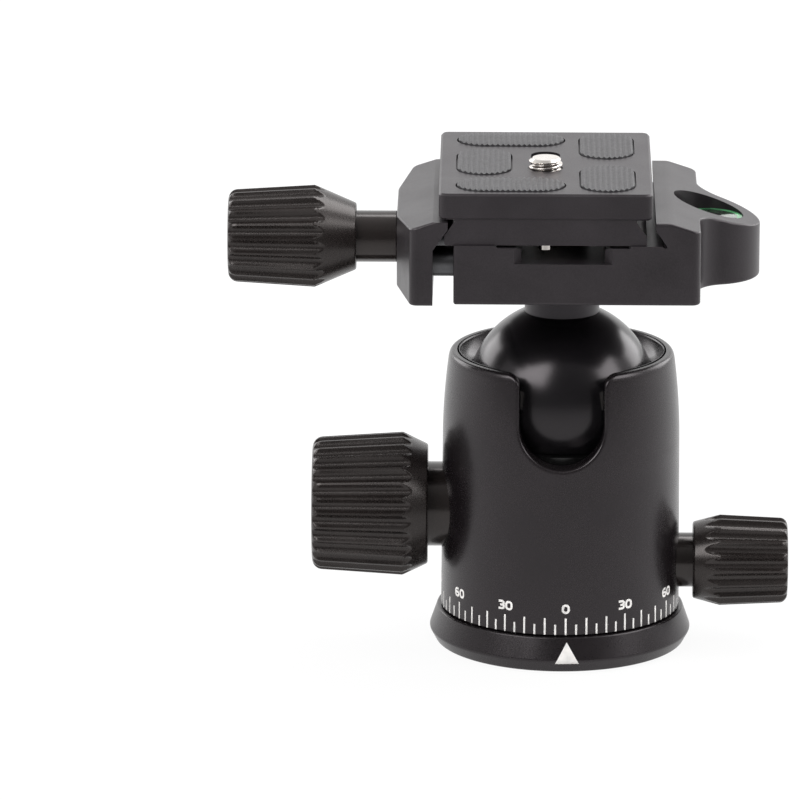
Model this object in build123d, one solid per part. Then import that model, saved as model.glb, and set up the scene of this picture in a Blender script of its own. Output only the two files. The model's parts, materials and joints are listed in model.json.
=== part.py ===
from build123d import *

import os
from math import cos, radians, sin, sqrt, tan

# Tripod ball head, in millimetres, +Z up.  The origin is on the panning axis at the underside
# of the base.  The notch of the housing faces -Y, the ball lock knob -X, the panning knob +X.

# ---- clearances ------------------------------------------------------------------------------
PRESS_GAP = 0.02        # radial, between pieces pressed or screwed together
RUN_GAP = 0.08          # radial, between a shaft and the hole it turns or slides in
LOOSE_GAP = 0.25        # radial, between moving pieces that only pass each other
BALL_GAP = 0.2          # between the ball and the rings that hold it
PAST = 5.0              # how far a cutter runs past the surface that it opens

# ---- base, spindle and tripod thread ---------------------------------------------------------
BASE_R = 25.0           # widest rim
BASE_FOOT_R = 23.7      # bearing face underneath
BASE_FOOT_H = 2.4       # height of the widest rim
BASE_TOP_R = 23.5
BASE_H = 6.7
BASE_RELIEF = 0.5       # shallow ring recess in the bearing face
BASE_RELIEF_IN_R = 9.5
BASE_RELIEF_OUT_R = 20.5
SPINDLE_R = 15.0
SPINDLE_TOP = 22.0
SPINDLE_BORE_R = 6.0    # lightening bore, down from the top
BRAKE_GROOVE_DEPTH = 1.0
BRAKE_GROOVE_HALF = 2.2
BASE_ROOF = 4.0         # closed end of the base, above its cone
SOCKET_R = 4.7625       # 3/8 inch tripod socket
BUSHING_LENGTH = 9.6
BUSHING_BORE_R = 2.6    # core of the 1/4 inch thread
BUSHING_FLANGE_R = 6.35
BUSHING_FLANGE_H = 1.3
BUSHING_SLOT_W = 1.7
BUSHING_SLOT_DEPTH = 1.2

# ---- housing ---------------------------------------------------------------------------------
HOUSING_GAP = 0.2       # dark line between base and housing
HOUSING_R = 22.8
HOUSING_WAIST_R = 22.6
HOUSING_WAIST_Z = 40.0
HOUSING_SHOULDER_R = 21.55
HOUSING_SHOULDER_Z = 55.4
HOUSING_TOP = 57.0
RIM_OUT_ROUND = 1.0
RIM_IN_R = 19.4
RIM_IN_ROUND = 0.5
BORE_R = 18.6
LIP_H = 0.7             # cylindrical edge of the retaining lip
NOTCH_HALF = 8.0
NOTCH_CHAMFER = 0.5
NOTCH_CORNER = 1.5      # rounding where the notch runs out on the rim
NOTCH_FLOOR = 39.2      # lowest point of the notch

# ---- ball and what holds it ------------------------------------------------------------------
BALL_R = 18.0
BALL_Z = 48.2
LINER_TOP = 53.0
LINER_H = 3.6
SEAT_TOP = 40.6
SEAT_H = 6.2
DISC_SPRING_H = 0.8
WEDGE_H = 6.8
WEDGE_DISH_GAP = 0.9
WEDGE_SPLIT = 1.0       # gap between the two wedge discs when the ball is locked
SUPPORT_H = 3.2
SUPPORT_RIM_W = 1.4

# ---- panning bearing -------------------------------------------------------------------------
GLIDE_H = 0.7
BUSH_H = 12.0
THRUST_H = 0.8
THRUST_W = 1.7
CIRCLIP_H = 1.0
CIRCLIP_DEPTH = 0.9
CIRCLIP_OPENING = 40.0  # degrees

# ---- ball lock knob --------------------------------------------------------------------------
LOCK_Z = 26.3
LOCK_SCREW_R = 4.0      # M8
LOCK_INSERT_R = 5.1
LOCK_INSERT_L = 3.8
LOCK_TRAVEL = 1.875     # 1.5 turns of 1.25 mm pitch
LOCK_COLLAR_R = 8.1
LOCK_COLLAR_L = 4.5
LOCK_SEAT_DEPTH = 2.2   # counterbore for the collar, below the housing's side
LOCK_POCKET_X = 15.6    # room for the insert in both wedge discs, from here outwards
LOCK_BACK_X = 25.4
LOCK_BACK_R = 11.4
LOCK_CONE_L = 4.8
LOCK_MAX_R = 13.7
LOCK_LENGTH = 22.1
LOCK_END_R = 12.6
LOCK_END_ROUND = 2.0
LOCK_FLUTES = 28
PLUNGER_R = 3.2
PLUNGER_L = 13.4
PLUNGER_TIP_R = 1.0
PLUNGER_CONE_L = 10.35
PLUNGER_END_X = 2.6     # distance of the tip from the ball's axis

# ---- panning knob ----------------------------------------------------------------------------
PAN_Z = 15.4
PAN_SCREW_R = 3.0       # M6
PAN_INSERT_R = 4.2
PAN_TRAVEL = 1.0        # one turn of 1 mm pitch
PAN_COLLAR_R = 5.2
PAN_COLLAR_L = 3.9
PAN_SEAT_DEPTH = 1.6
PAN_BACK_X = 25.4
PAN_BACK_R = 7.3
PAN_CONE_L = 5.2
PAN_MAX_R = 8.7
PAN_LENGTH = 18.1
PAN_END_R = 8.1
PAN_END_ROUND = 1.5
PAN_FLUTES = 18
SHOE_R = 2.4
SHOE_L = 4.3
SHOE_TIP_R = 1.6

# ---- neck and clamp body ---------------------------------------------------------------------
NECK_R = 7.1
NECK_SINK = 2.7         # how deep the neck collar sits in the ball
NECK_REACH = 24.0       # ball centre to the clamp's underside
STEM_BOLT_R = 3.0
STEM_HEAD_R = 5.0
STEM_HEAD_H = 2.4
STEM_BOLT_L = 26.0
STEM_SOCKET_AF = 4.0
CLAMP_LENGTH = 51.0     # along Y
CLAMP_LEFT = -20.5
CLAMP_RIGHT = 25.7
CLAMP_FLOOR = 11.4      # above the clamp's underside
CLAMP_LIP_Z = 15.8
CLAMP_CORNER = 1.6
CLAMP_EDGE = 0.5
LIP_X = 17.3
LIP_LAND = 1.4
LIP_FLAT = 2.9
LIP_CREST_R = 4.0       # rounding between the flat top of the fixed jaw and its fall
LIP_NICK = 0.3
JAW_SLOPE = 18.0        # degrees, fall of both jaw tops
DOVETAIL_ANGLE = 35.0   # degrees from upright
RELIEF_HALF = 12.8
RELIEF_DEPTH = 0.45
SLOT_HALF = 7.8
SLOT_DEPTH = 3.5
SLOT_BEVEL = 1.4        # flare of the slot at both ends
NOSE_X = 27.6
NOSE_R = 9.8
NOSE_FILLET = 6.0
LEVEL_R = 6.6
LEVEL_DEPTH = 6.0       # floor of the level's hole, above the clamp's underside
LEVEL_CUP_H = 4.2
LEVEL_CUP_WALL = 0.9
LEVEL_LENS_H = 1.0
LEVEL_LENS_DOME = 0.35

# ---- moving jaw, its screw and knob ----------------------------------------------------------
JAW_GAP = 3.9           # between clamp body and jaw as it stands open
JAW_LIP = 2.8           # reach of the lip over the gap
JAW_END_W = 4.2         # thickness of the jaw at its ends
JAW_MID_W = 6.9         # thickness at its middle
JAW_MID_HALF = 10.8
JAW_DROP = 0.3          # the jaw hangs this far below the clamp body
JAW_CLOSING = 2.4       # travel from the open stand to the clamped one
JAW_OPENING = 1.2       # travel the other way
SCREW_UP = 6.8          # screw axis above the clamp's underside
CLAMP_SCREW_R = 3.0     # M6
CLAMP_SCREW_TIP = -11.5
CLAMP_INSERT_R = 4.0
CLAMP_INSERT_L = 7.5
PIN_R = 2.9
PIN_Y = 18.6
PIN_TIP = -14.4
PIN_BORE_END = -8.8
SPRING_WIRE = 0.5
SPRING_TURNS = 3.5
SLEEVE_R = 4.9
SLEEVE_L = 7.8
CLAMP_KNOB_BACK_R = 6.3
CLAMP_KNOB_CONE_L = 7.9
CLAMP_KNOB_MAX_R = 9.7
CLAMP_KNOB_LENGTH = 24.3
CLAMP_KNOB_END_R = 8.7
CLAMP_KNOB_ROUND = 1.8
CLAMP_KNOB_FLUTES = 20

# ---- knob flutes -----------------------------------------------------------------------------
FLUTE_SHARE = 0.7       # groove width over pitch
FLUTE_DEPTH = 0.55      # groove depth over groove width

# ---- quick release plate ---------------------------------------------------------------------
PLATE_X = -3.3          # plate centre as it lies in the open clamp
PLATE_W = 40.0
PLATE_SHORT = 0.1       # the plate's ends lie this far inside the clamp's
PLATE_L = CLAMP_LENGTH - 2 * PLATE_SHORT
PLATE_SLAB_H = 5.0
PLATE_CORNER = 1.6
PLATE_EDGE = 0.4
DOVETAIL_W = 37.8
DOVETAIL_H = 4.9
DOVETAIL_LAND = 1.8
DOVETAIL_NECK_W = 34.0
PAD_L = 20.5
PAD_W = 10.4
PAD_SINK = 0.8
PAD_PROUD = 0.45
PAD_GAP = 0.12          # open line between a pad and its pocket
PAD_MARGIN_Y = 1.95     # from the plate's front and back edge to the pads
PAD_LEFT_X = 16.8       # outer edge of the left pads, from the plate's middle
PAD_RIGHT_X = 16.8      # outer edge of the right pads
SCREW_Y = -4.0          # camera screw, in its tapped hole at the front end of the slot
SCREW_R = 3.175         # 1/4 inch
SCREW_PROUD = 2.0
SCREW_THREAD_L = 4.9
SCREW_SHANK_R = 2.6     # relieved shank, free to slide in the slot once the thread is out
SCREW_SLOT_R = 2.75
SCREW_SLOT_BACK = 6.2   # centre of the slot's back end
SCREW_HEAD_R = 6.4
SCREW_HEAD_H = 2.3
SCREW_COIN_W = 1.5
SCREW_COIN_DEPTH = 1.1
SCREW_RISE = 2.85       # travel upwards until the thread leaves its hole
WEB_H = 3.1             # thickness left over the screw's pocket
POCKET_R = 6.8
WASHER_H = 0.5
STOP_PIN_R = 1.3
STOP_PIN_INSET = 3.5    # from the plate's ends
STOP_PIN_DROP = 1.3
STOP_PIN_SINK = 3.0

# ---- places that follow from the sizes -------------------------------------------------------
HOUSING_BOTTOM = BASE_H + HOUSING_GAP
BUSH_BOTTOM = BASE_H + GLIDE_H
BUSH_TOP = BUSH_BOTTOM + BUSH_H
BUSH_BORE_R = SPINDLE_R + RUN_GAP
CIRCLIP_Z = BUSH_TOP + THRUST_H
SEAT_Z = SEAT_TOP - SEAT_H
WEDGE_TOP = SEAT_Z - DISC_SPRING_H
WEDGE_Z = WEDGE_TOP - WEDGE_H
SUPPORT_TOP = WEDGE_Z - WEDGE_SPLIT
SUPPORT_Z = SUPPORT_TOP - SUPPORT_H
RING_R = BORE_R - PRESS_GAP
SLIDE_R = BORE_R - LOOSE_GAP
LIP_R = sqrt((BALL_R + BALL_GAP) ** 2 - (LINER_TOP - BALL_Z) ** 2) + PRESS_GAP
NOTCH_Z = NOTCH_FLOOR + NOTCH_HALF
CONE_SLOPE = (PLUNGER_R - PLUNGER_TIP_R) / PLUNGER_CONE_L
WEDGE_DROP = LOCK_TRAVEL * CONE_SLOPE
CLAMP_Z = BALL_Z + NECK_REACH
FLOOR_Z = CLAMP_Z + CLAMP_FLOOR
LIP_TOP_Z = CLAMP_Z + CLAMP_LIP_Z
SLOT_Z = FLOOR_Z - SLOT_DEPTH
SCREW_Z = CLAMP_Z + SCREW_UP
FLANK = tan(radians(DOVETAIL_ANGLE))
FALL = tan(radians(JAW_SLOPE))
JAW_FACE = CLAMP_LEFT - JAW_GAP
JAW_BACK = JAW_FACE - JAW_MID_W
SLEEVE_END = JAW_BACK - SLEEVE_L
PLATE_TOP = FLOOR_Z + DOVETAIL_H + PLATE_SLAB_H
SLAB_Z = FLOOR_Z + DOVETAIL_H
POCKET_TOP = PLATE_TOP - WEB_H
SCREW_TIP_Z = PLATE_TOP + SCREW_PROUD
HEAD_TOP = POCKET_TOP - WASHER_H - SCREW_RISE - 0.05
PAD_SHIFT_X = PAD_LEFT_X - PAD_L / 2
PAD_SHIFT_Y = PLATE_L / 2 - PAD_MARGIN_Y - PAD_W / 2


def turned(*points):
    """Solid of revolution about Z from a closed profile of (radius, height) points."""
    return revolve(Plane.XZ * make_face(Polyline(*points, close=True)), Axis.Z)


def tube(outer, inner, low, high):
    return turned((inner, low), (outer, low), (outer, high), (inner, high))


def rod(radius, low, high):
    return Pos(0, 0, low) * Cylinder(radius, high - low, align=(Align.CENTER, Align.CENTER, Align.MIN))


def to_left(z, y=0.0):
    """Turns a piece drawn along +Z so that it lies along -X at a height."""
    return Location(Plane(origin=(0, y, z), x_dir=(0, 0, 1), z_dir=(-1, 0, 0)))


def to_right(z, y=0.0):
    """Turns a piece drawn along +Z so that it lies along +X at a height."""
    return Location(Plane(origin=(0, y, z), x_dir=(0, 0, 1), z_dir=(1, 0, 0)))


def along_y(face, half_length):
    """Carries a profile drawn in X and Z along Y, both ways from the middle."""
    return extrude(Plane.XZ * face, half_length, both=True)


def ball_radius_at(z, gap=0.0):
    return sqrt((BALL_R + gap) ** 2 - (z - BALL_Z) ** 2)


# ---- base ------------------------------------------------------------------------------------
def base_plate():
    """Coned foot and spindle turned from one piece, with the tripod socket and brake groove."""
    groove_r = SPINDLE_R - BRAKE_GROOVE_DEPTH
    groove_out = BRAKE_GROOVE_HALF + BRAKE_GROOVE_DEPTH
    clip_r = SPINDLE_R - CIRCLIP_DEPTH
    roof = BASE_H + BASE_ROOF
    body = turned(
        (0, 0),
        (BASE_RELIEF_IN_R, 0),
        (BASE_RELIEF_IN_R + BASE_RELIEF, BASE_RELIEF),
        (BASE_RELIEF_OUT_R - BASE_RELIEF, BASE_RELIEF),
        (BASE_RELIEF_OUT_R, 0),
        (BASE_FOOT_R, 0),
        (BASE_R, BASE_FOOT_H),
        (BASE_TOP_R, BASE_H),
        (SPINDLE_R, BASE_H),
        (SPINDLE_R, PAN_Z - groove_out),
        (groove_r, PAN_Z - BRAKE_GROOVE_HALF),
        (groove_r, PAN_Z + BRAKE_GROOVE_HALF),
        (SPINDLE_R, PAN_Z + groove_out),
        (SPINDLE_R, CIRCLIP_Z),
        (clip_r, CIRCLIP_Z),
        (clip_r, CIRCLIP_Z + CIRCLIP_H),
        (SPINDLE_R, CIRCLIP_Z + CIRCLIP_H),
        (SPINDLE_R, SPINDLE_TOP),
        (SPINDLE_BORE_R, SPINDLE_TOP),
        (SPINDLE_BORE_R, roof),
        (0, roof),
    )
    socket = rod(SOCKET_R + PRESS_GAP, 0, BUSHING_LENGTH)
    recess = rod(BUSHING_FLANGE_R + PRESS_GAP, 0, BUSHING_FLANGE_H)
    foot = body.edges().filter_by(GeomType.CIRCLE).group_by(Axis.Z)[0].sort_by(SortBy.RADIUS)[-1]
    rim = body.edges().filter_by(GeomType.CIRCLE).sort_by(SortBy.RADIUS)[-1]
    return fillet([foot, rim], 0.6) - socket - recess


def thread_bushing():
    """3/8 inch to 1/4 inch reducing bushing with a slotted flange, screwed in from below."""
    body = turned(
        (BUSHING_BORE_R, 0),
        (BUSHING_FLANGE_R, 0),
        (BUSHING_FLANGE_R, BUSHING_FLANGE_H),
        (SOCKET_R, BUSHING_FLANGE_H),
        (SOCKET_R, BUSHING_LENGTH),
        (BUSHING_BORE_R, BUSHING_LENGTH),
    )
    side = (BUSHING_FLANGE_R + BUSHING_BORE_R) / 2 + 1.0
    for sign in (-1, 1):
        body -= Pos(sign * side, 0, BUSHING_SLOT_DEPTH / 2) * Box(
            2 * (side - BUSHING_BORE_R + 0.3), BUSHING_SLOT_W, BUSHING_SLOT_DEPTH
        )
    return body


def glide_washer():
    return tube(RING_R - LOOSE_GAP, BUSH_BORE_R, BASE_H, BUSH_BOTTOM)


def thrust_washer():
    return tube(BUSH_BORE_R + THRUST_W, BUSH_BORE_R, BUSH_TOP, CIRCLIP_Z)


def retaining_ring():
    """Circlip in the spindle's groove, open over a few degrees."""
    ring = tube(
        BUSH_BORE_R + THRUST_W - 0.3,
        SPINDLE_R - CIRCLIP_DEPTH + PRESS_GAP,
        CIRCLIP_Z,
        CIRCLIP_Z + CIRCLIP_H,
    )
    reach = 2 * SPINDLE_R
    half = reach * tan(radians(CIRCLIP_OPENING / 2))
    wedge = make_face(Polyline((0, 0), (-half, reach), (half, reach), close=True))
    return ring - extrude(Pos(0, 0, CIRCLIP_Z - 1) * wedge, CIRCLIP_H + 2)


# ---- housing ---------------------------------------------------------------------------------
def housing_wall():
    """Turned wall: straight, drawn in towards a rounded rim, with a concave bowl inside it."""
    rim_out = HOUSING_SHOULDER_R - RIM_OUT_ROUND
    outline = [
        Line((BORE_R, HOUSING_BOTTOM), (HOUSING_R, HOUSING_BOTTOM)),
        Line((HOUSING_R, HOUSING_BOTTOM), (HOUSING_WAIST_R, HOUSING_WAIST_Z)),
        TangentArc(
            (HOUSING_WAIST_R, HOUSING_WAIST_Z),
            (HOUSING_SHOULDER_R, HOUSING_SHOULDER_Z),
            tangent=(HOUSING_WAIST_R - HOUSING_R, HOUSING_WAIST_Z - HOUSING_BOTTOM),
        ),
        ThreePointArc(
            (HOUSING_SHOULDER_R, HOUSING_SHOULDER_Z),
            (HOUSING_SHOULDER_R - 0.25 * RIM_OUT_ROUND, HOUSING_TOP - 0.45 * RIM_OUT_ROUND),
            (rim_out, HOUSING_TOP),
        ),
        Line((rim_out, HOUSING_TOP), (RIM_IN_R + RIM_IN_ROUND, HOUSING_TOP)),
        RadiusArc(
            (RIM_IN_R + RIM_IN_ROUND, HOUSING_TOP), (RIM_IN_R, HOUSING_TOP - RIM_IN_ROUND), -RIM_IN_ROUND
        ),
        ThreePointArc(
            (RIM_IN_R, HOUSING_TOP - RIM_IN_ROUND),
            (LIP_R + 0.7 * (RIM_IN_R - LIP_R), LINER_TOP + LIP_H + 0.9),
            (LIP_R, LINER_TOP + LIP_H),
        ),
        Polyline((LIP_R, LINER_TOP + LIP_H), (LIP_R, LINER_TOP), (BORE_R, LINER_TOP), (BORE_R, HOUSING_BOTTOM)),
    ]
    return revolve(Plane.XZ * make_face(outline), Axis.Z)


def notch():
    """Upright U-shaped cutter that lets the neck drop to level at the front."""
    inner = sqrt(LIP_R**2 - NOTCH_HALF**2) - 1.0
    side = HOUSING_R + 1.0 - inner
    middle = -inner - side / 2
    height = HOUSING_TOP - NOTCH_Z + 2.0
    arch = Pos(0, middle, NOTCH_Z) * Rot(90, 0, 0) * Cylinder(NOTCH_HALF, side)
    return arch + Pos(0, middle, NOTCH_Z + height / 2) * Box(2 * NOTCH_HALF, side, height)


def notch_corners():
    """Cutter that rounds both corners between the notch and the rim."""
    side = HOUSING_R - RIM_IN_R + PAST
    corners = []
    for hand in (-1, 1):
        centre = Pos(hand * (NOTCH_HALF + NOTCH_CORNER), -HOUSING_R + side / 2, HOUSING_TOP - NOTCH_CORNER)
        block = centre * Pos(-hand * NOTCH_CORNER, 0, NOTCH_CORNER) * Box(2 * NOTCH_CORNER, side, 2 * NOTCH_CORNER)
        corners.append(block - centre * Rot(90, 0, 0) * Cylinder(NOTCH_CORNER, side))
    return corners[0] + corners[1]


def housing():
    wall = housing_wall() - notch()
    outer_edges = [
        e
        for e in wall.edges()
        if e.center().Y < -HOUSING_SHOULDER_R + 3.0
        and abs(e.center().X) < NOTCH_HALF + 0.1
        and e.center().Z > NOTCH_FLOOR - 1
        and e.length > NOTCH_CHAMFER * 6
        and min(Vector(v.X, v.Y, 0).length for v in e.vertices()) > HOUSING_SHOULDER_R - 0.2
    ]
    wall = chamfer(outer_edges, NOTCH_CHAMFER) - notch_corners()
    lock_floor = HOUSING_R - LOCK_SEAT_DEPTH
    pan_floor = HOUSING_R - PAN_SEAT_DEPTH
    wall -= to_left(LOCK_Z) * rod(LOCK_COLLAR_R + LOOSE_GAP, lock_floor, HOUSING_R + PAST)
    wall -= to_left(LOCK_Z) * rod(LOCK_INSERT_R, BORE_R - PAST, HOUSING_R)
    wall -= to_right(PAN_Z) * rod(PAN_COLLAR_R + LOOSE_GAP, pan_floor, HOUSING_R + PAST)
    wall -= to_right(PAN_Z) * rod(PAN_INSERT_R, BORE_R - PAST, HOUSING_R)
    return wall


def upper_liner():
    """Nylon ring under the lip that keeps the ball in, cut away at the notch."""
    bottom = LINER_TOP - LINER_H
    ring = tube(RING_R, LIP_R - 1.5, bottom, LINER_TOP)
    return ring - Pos(0, 0, BALL_Z) * Sphere(BALL_R + BALL_GAP) - notch()


def support_disc():
    """Fixed lower wedge disc: a cup that stands on the bush and carries the plunger from below."""
    disc = tube(RING_R, RING_R - SUPPORT_RIM_W, BUSH_TOP, SUPPORT_Z) + rod(RING_R, SUPPORT_Z, SUPPORT_TOP)
    return disc - plunger_path() - to_left(LOCK_Z) * rod(LOCK_INSERT_R + PRESS_GAP, LOCK_POCKET_X, BORE_R + 2)


def pan_bush():
    """Bearing ring screwed into the housing from below, with a hole for the brake shoe."""
    bush = tube(RING_R, BUSH_BORE_R, BUSH_BOTTOM, BUSH_TOP)
    return bush - to_right(PAN_Z) * rod(SHOE_R + RUN_GAP, 0, BORE_R + 2)


def lock_insert():
    start = HOUSING_R - LOCK_SEAT_DEPTH - LOCK_INSERT_L
    ring = tube(LOCK_INSERT_R - PRESS_GAP, LOCK_SCREW_R + RUN_GAP, start, start + LOCK_INSERT_L)
    return to_left(LOCK_Z) * ring


def pan_insert():
    end = HOUSING_R - PAN_SEAT_DEPTH
    ring = tube(PAN_INSERT_R - PRESS_GAP, PAN_SCREW_R + RUN_GAP, RING_R + PRESS_GAP * 4, end)
    return to_right(PAN_Z) * ring


# ---- ball lock -------------------------------------------------------------------------------
def plunger_path():
    """Coned bed of the plunger, cut into both wedge discs, wide enough for its whole travel."""
    shoulder = PLUNGER_END_X + PLUNGER_CONE_L
    far = BORE_R + 2
    bed = turned(
        (0, PLUNGER_END_X - 1.5),
        (PLUNGER_TIP_R + RUN_GAP * 2, PLUNGER_END_X - 1.5),
        (PLUNGER_TIP_R + RUN_GAP * 2, PLUNGER_END_X),
        (PLUNGER_R + RUN_GAP * 2, shoulder),
        (PLUNGER_R + RUN_GAP * 2 + (far - shoulder) * CONE_SLOPE, far),
        (0, far),
    )
    return to_left(LOCK_Z) * bed


def lock_plunger():
    """Hardened pin with a long cone that drives the two wedge discs apart."""
    shoulder = PLUNGER_END_X + PLUNGER_CONE_L
    pin = turned(
        (0, PLUNGER_END_X),
        (PLUNGER_TIP_R, PLUNGER_END_X),
        (PLUNGER_R, shoulder),
        (PLUNGER_R, PLUNGER_END_X + PLUNGER_L),
        (0, PLUNGER_END_X + PLUNGER_L),
    )
    return to_left(LOCK_Z) * pin


def lift_wedge():
    """Upper wedge disc, dished under the ball, that rises as the plunger goes in."""
    disc = rod(SLIDE_R, WEDGE_Z, WEDGE_TOP)
    disc -= Pos(0, 0, BALL_Z) * Sphere(BALL_R + WEDGE_DISH_GAP)
    disc -= plunger_path()
    return disc - to_left(LOCK_Z) * rod(LOCK_INSERT_R + WEDGE_DROP + LOOSE_GAP, LOCK_POCKET_X, BORE_R + 2)


def disc_spring():
    """Coned spring washer between the lift wedge and the seat."""
    inner = ball_radius_at(WEDGE_TOP, BALL_GAP) + 1.2
    thick = DISC_SPRING_H / 2
    return turned(
        (inner, WEDGE_TOP + thick),
        (SLIDE_R, WEDGE_TOP),
        (SLIDE_R, WEDGE_TOP + thick),
        (inner, SEAT_Z),
    )


def ball_seat():
    """Lower seat ring with a spherical face, free to creep round with the ball."""
    ring = tube(SLIDE_R, ball_radius_at(SEAT_Z, BALL_GAP) - 1.0, SEAT_Z, SEAT_TOP)
    return ring - Pos(0, 0, BALL_Z) * Sphere(BALL_R + BALL_GAP)


# ---- knobs -----------------------------------------------------------------------------------
def fluted_knob(collar_r, collar_z, back_z, back_r, cone_l, max_r, length, end_r, end_round, flutes):
    """Knob along +Z: collar, smooth cone and a slightly tapered grip whose flutes run out on it."""
    shoulder = back_z + cone_l
    end = back_z + length
    taper = (max_r - end_r) / (length - cone_l)
    grip = turned((0, back_z), (back_r, back_z), (max_r, shoulder), (end_r, end), (0, end))
    blank = grip + rod(collar_r, collar_z, back_z + cone_l)
    rim = blank.edges().filter_by(GeomType.CIRCLE).group_by(Axis.Z)[-1]
    blank = fillet(rim, end_round)
    crest = blank.edges().filter_by(GeomType.CIRCLE).sort_by(SortBy.RADIUS)[-1]
    blank = fillet(crest, 0.8)
    width = FLUTE_SHARE * 2 * 3.14159265 * max_r / flutes
    depth = FLUTE_DEPTH * width
    cutter_r = (width**2 / 4 + depth**2) / (2 * depth)
    centre = max_r - depth + cutter_r
    cutter = Pos(centre, 0, shoulder) * Rot(0, -taper * 57.29578, 0) * Cylinder(cutter_r, 3 * length)
    return blank - PolarLocations(0, flutes) * cutter


def lock_knob():
    knob = fluted_knob(
        LOCK_COLLAR_R,
        LOCK_BACK_X - LOCK_COLLAR_L,
        LOCK_BACK_X,
        LOCK_BACK_R,
        LOCK_CONE_L,
        LOCK_MAX_R,
        LOCK_LENGTH,
        LOCK_END_R,
        LOCK_END_ROUND,
        LOCK_FLUTES,
    )
    return to_left(LOCK_Z) * (knob - rod(LOCK_SCREW_R - RUN_GAP + PRESS_GAP, 0, LOCK_BACK_X + LOCK_LENGTH / 2))


def lock_screw():
    start = PLUNGER_END_X + PLUNGER_L
    return to_left(LOCK_Z) * rod(LOCK_SCREW_R - RUN_GAP, start, LOCK_BACK_X + LOCK_LENGTH / 2)


def pan_knob():
    knob = fluted_knob(
        PAN_COLLAR_R,
        PAN_BACK_X - PAN_COLLAR_L,
        PAN_BACK_X,
        PAN_BACK_R,
        PAN_CONE_L,
        PAN_MAX_R,
        PAN_LENGTH,
        PAN_END_R,
        PAN_END_ROUND,
        PAN_FLUTES,
    )
    return to_right(PAN_Z) * (knob - rod(PAN_SCREW_R - RUN_GAP + PRESS_GAP, 0, PAN_BACK_X + PAN_LENGTH / 2))


def shoe_start():
    return SPINDLE_R - BRAKE_GROOVE_DEPTH + 0.1


def brake_shoe():
    """Brass pin with a blunt tip that presses into the spindle's groove."""
    start = shoe_start()
    pin = turned(
        (0, start),
        (SHOE_TIP_R, start),
        (SHOE_R, start + SHOE_R - SHOE_TIP_R),
        (SHOE_R, start + SHOE_L),
        (0, start + SHOE_L),
    )
    return to_right(PAN_Z) * pin


def pan_screw():
    start = shoe_start() + SHOE_L
    tip = rod(SHOE_R, start, RING_R + PRESS_GAP * 4 + 0.2)
    return to_right(PAN_Z) * (
        tip + rod(PAN_SCREW_R - RUN_GAP, RING_R + PRESS_GAP * 4 + 0.2, PAN_BACK_X + PAN_LENGTH / 2)
    )


# ---- ball, neck and clamp body ---------------------------------------------------------------
def neck_bottom():
    return BALL_Z + sqrt(BALL_R**2 - NECK_R**2) - NECK_SINK


def ball():
    sphere = Pos(0, 0, BALL_Z) * Sphere(BALL_R)
    sphere -= rod(NECK_R + PRESS_GAP, neck_bottom(), CLAMP_Z)
    return sphere - rod(STEM_BOLT_R + RUN_GAP, SLOT_Z - STEM_BOLT_L - 0.5, CLAMP_Z)


def neck_collar():
    """Turned collar between ball and clamp, pulled tight by the bolt through it."""
    return tube(NECK_R, STEM_BOLT_R + RUN_GAP, neck_bottom(), CLAMP_Z)


def stem_bolt():
    """Low-head socket screw that holds clamp, collar and ball together."""
    bolt = rod(STEM_HEAD_R, SLOT_Z, SLOT_Z + STEM_HEAD_H) + rod(STEM_BOLT_R, SLOT_Z - STEM_BOLT_L, SLOT_Z)
    hexagon = RegularPolygon(STEM_SOCKET_AF / 2, 6, major_radius=False)
    return bolt - extrude(Pos(0, 0, SLOT_Z + STEM_HEAD_H) * hexagon, -0.7 * STEM_HEAD_H)


def clamp_plan():
    """Plan of the clamp body: a rounded block that runs into a round nose for the level."""
    width = CLAMP_RIGHT - CLAMP_LEFT
    block = Pos((CLAMP_LEFT + CLAMP_RIGHT) / 2, 0) * Rectangle(width, CLAMP_LENGTH)
    block = fillet(block.vertices().group_by(Axis.X)[-1], CLAMP_CORNER)
    block = fillet(block.vertices().group_by(Axis.X)[0], CLAMP_EDGE)
    root_x = CLAMP_RIGHT + NOSE_FILLET
    root_y = sqrt((NOSE_R + NOSE_FILLET) ** 2 - (root_x - NOSE_X) ** 2)
    share = NOSE_R / (NOSE_R + NOSE_FILLET)
    touch_x = NOSE_X + (root_x - NOSE_X) * share
    touch_y = root_y * share
    nose = make_face(
        [
            Polyline((CLAMP_RIGHT, root_y), (0, root_y), (0, -root_y), (CLAMP_RIGHT, -root_y)),
            RadiusArc((CLAMP_RIGHT, -root_y), (touch_x, -touch_y), NOSE_FILLET),
            ThreePointArc((touch_x, -touch_y), (NOSE_X + NOSE_R, 0), (touch_x, touch_y)),
            RadiusArc((touch_x, touch_y), (CLAMP_RIGHT, root_y), NOSE_FILLET),
        ]
    )
    return block + nose


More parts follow.
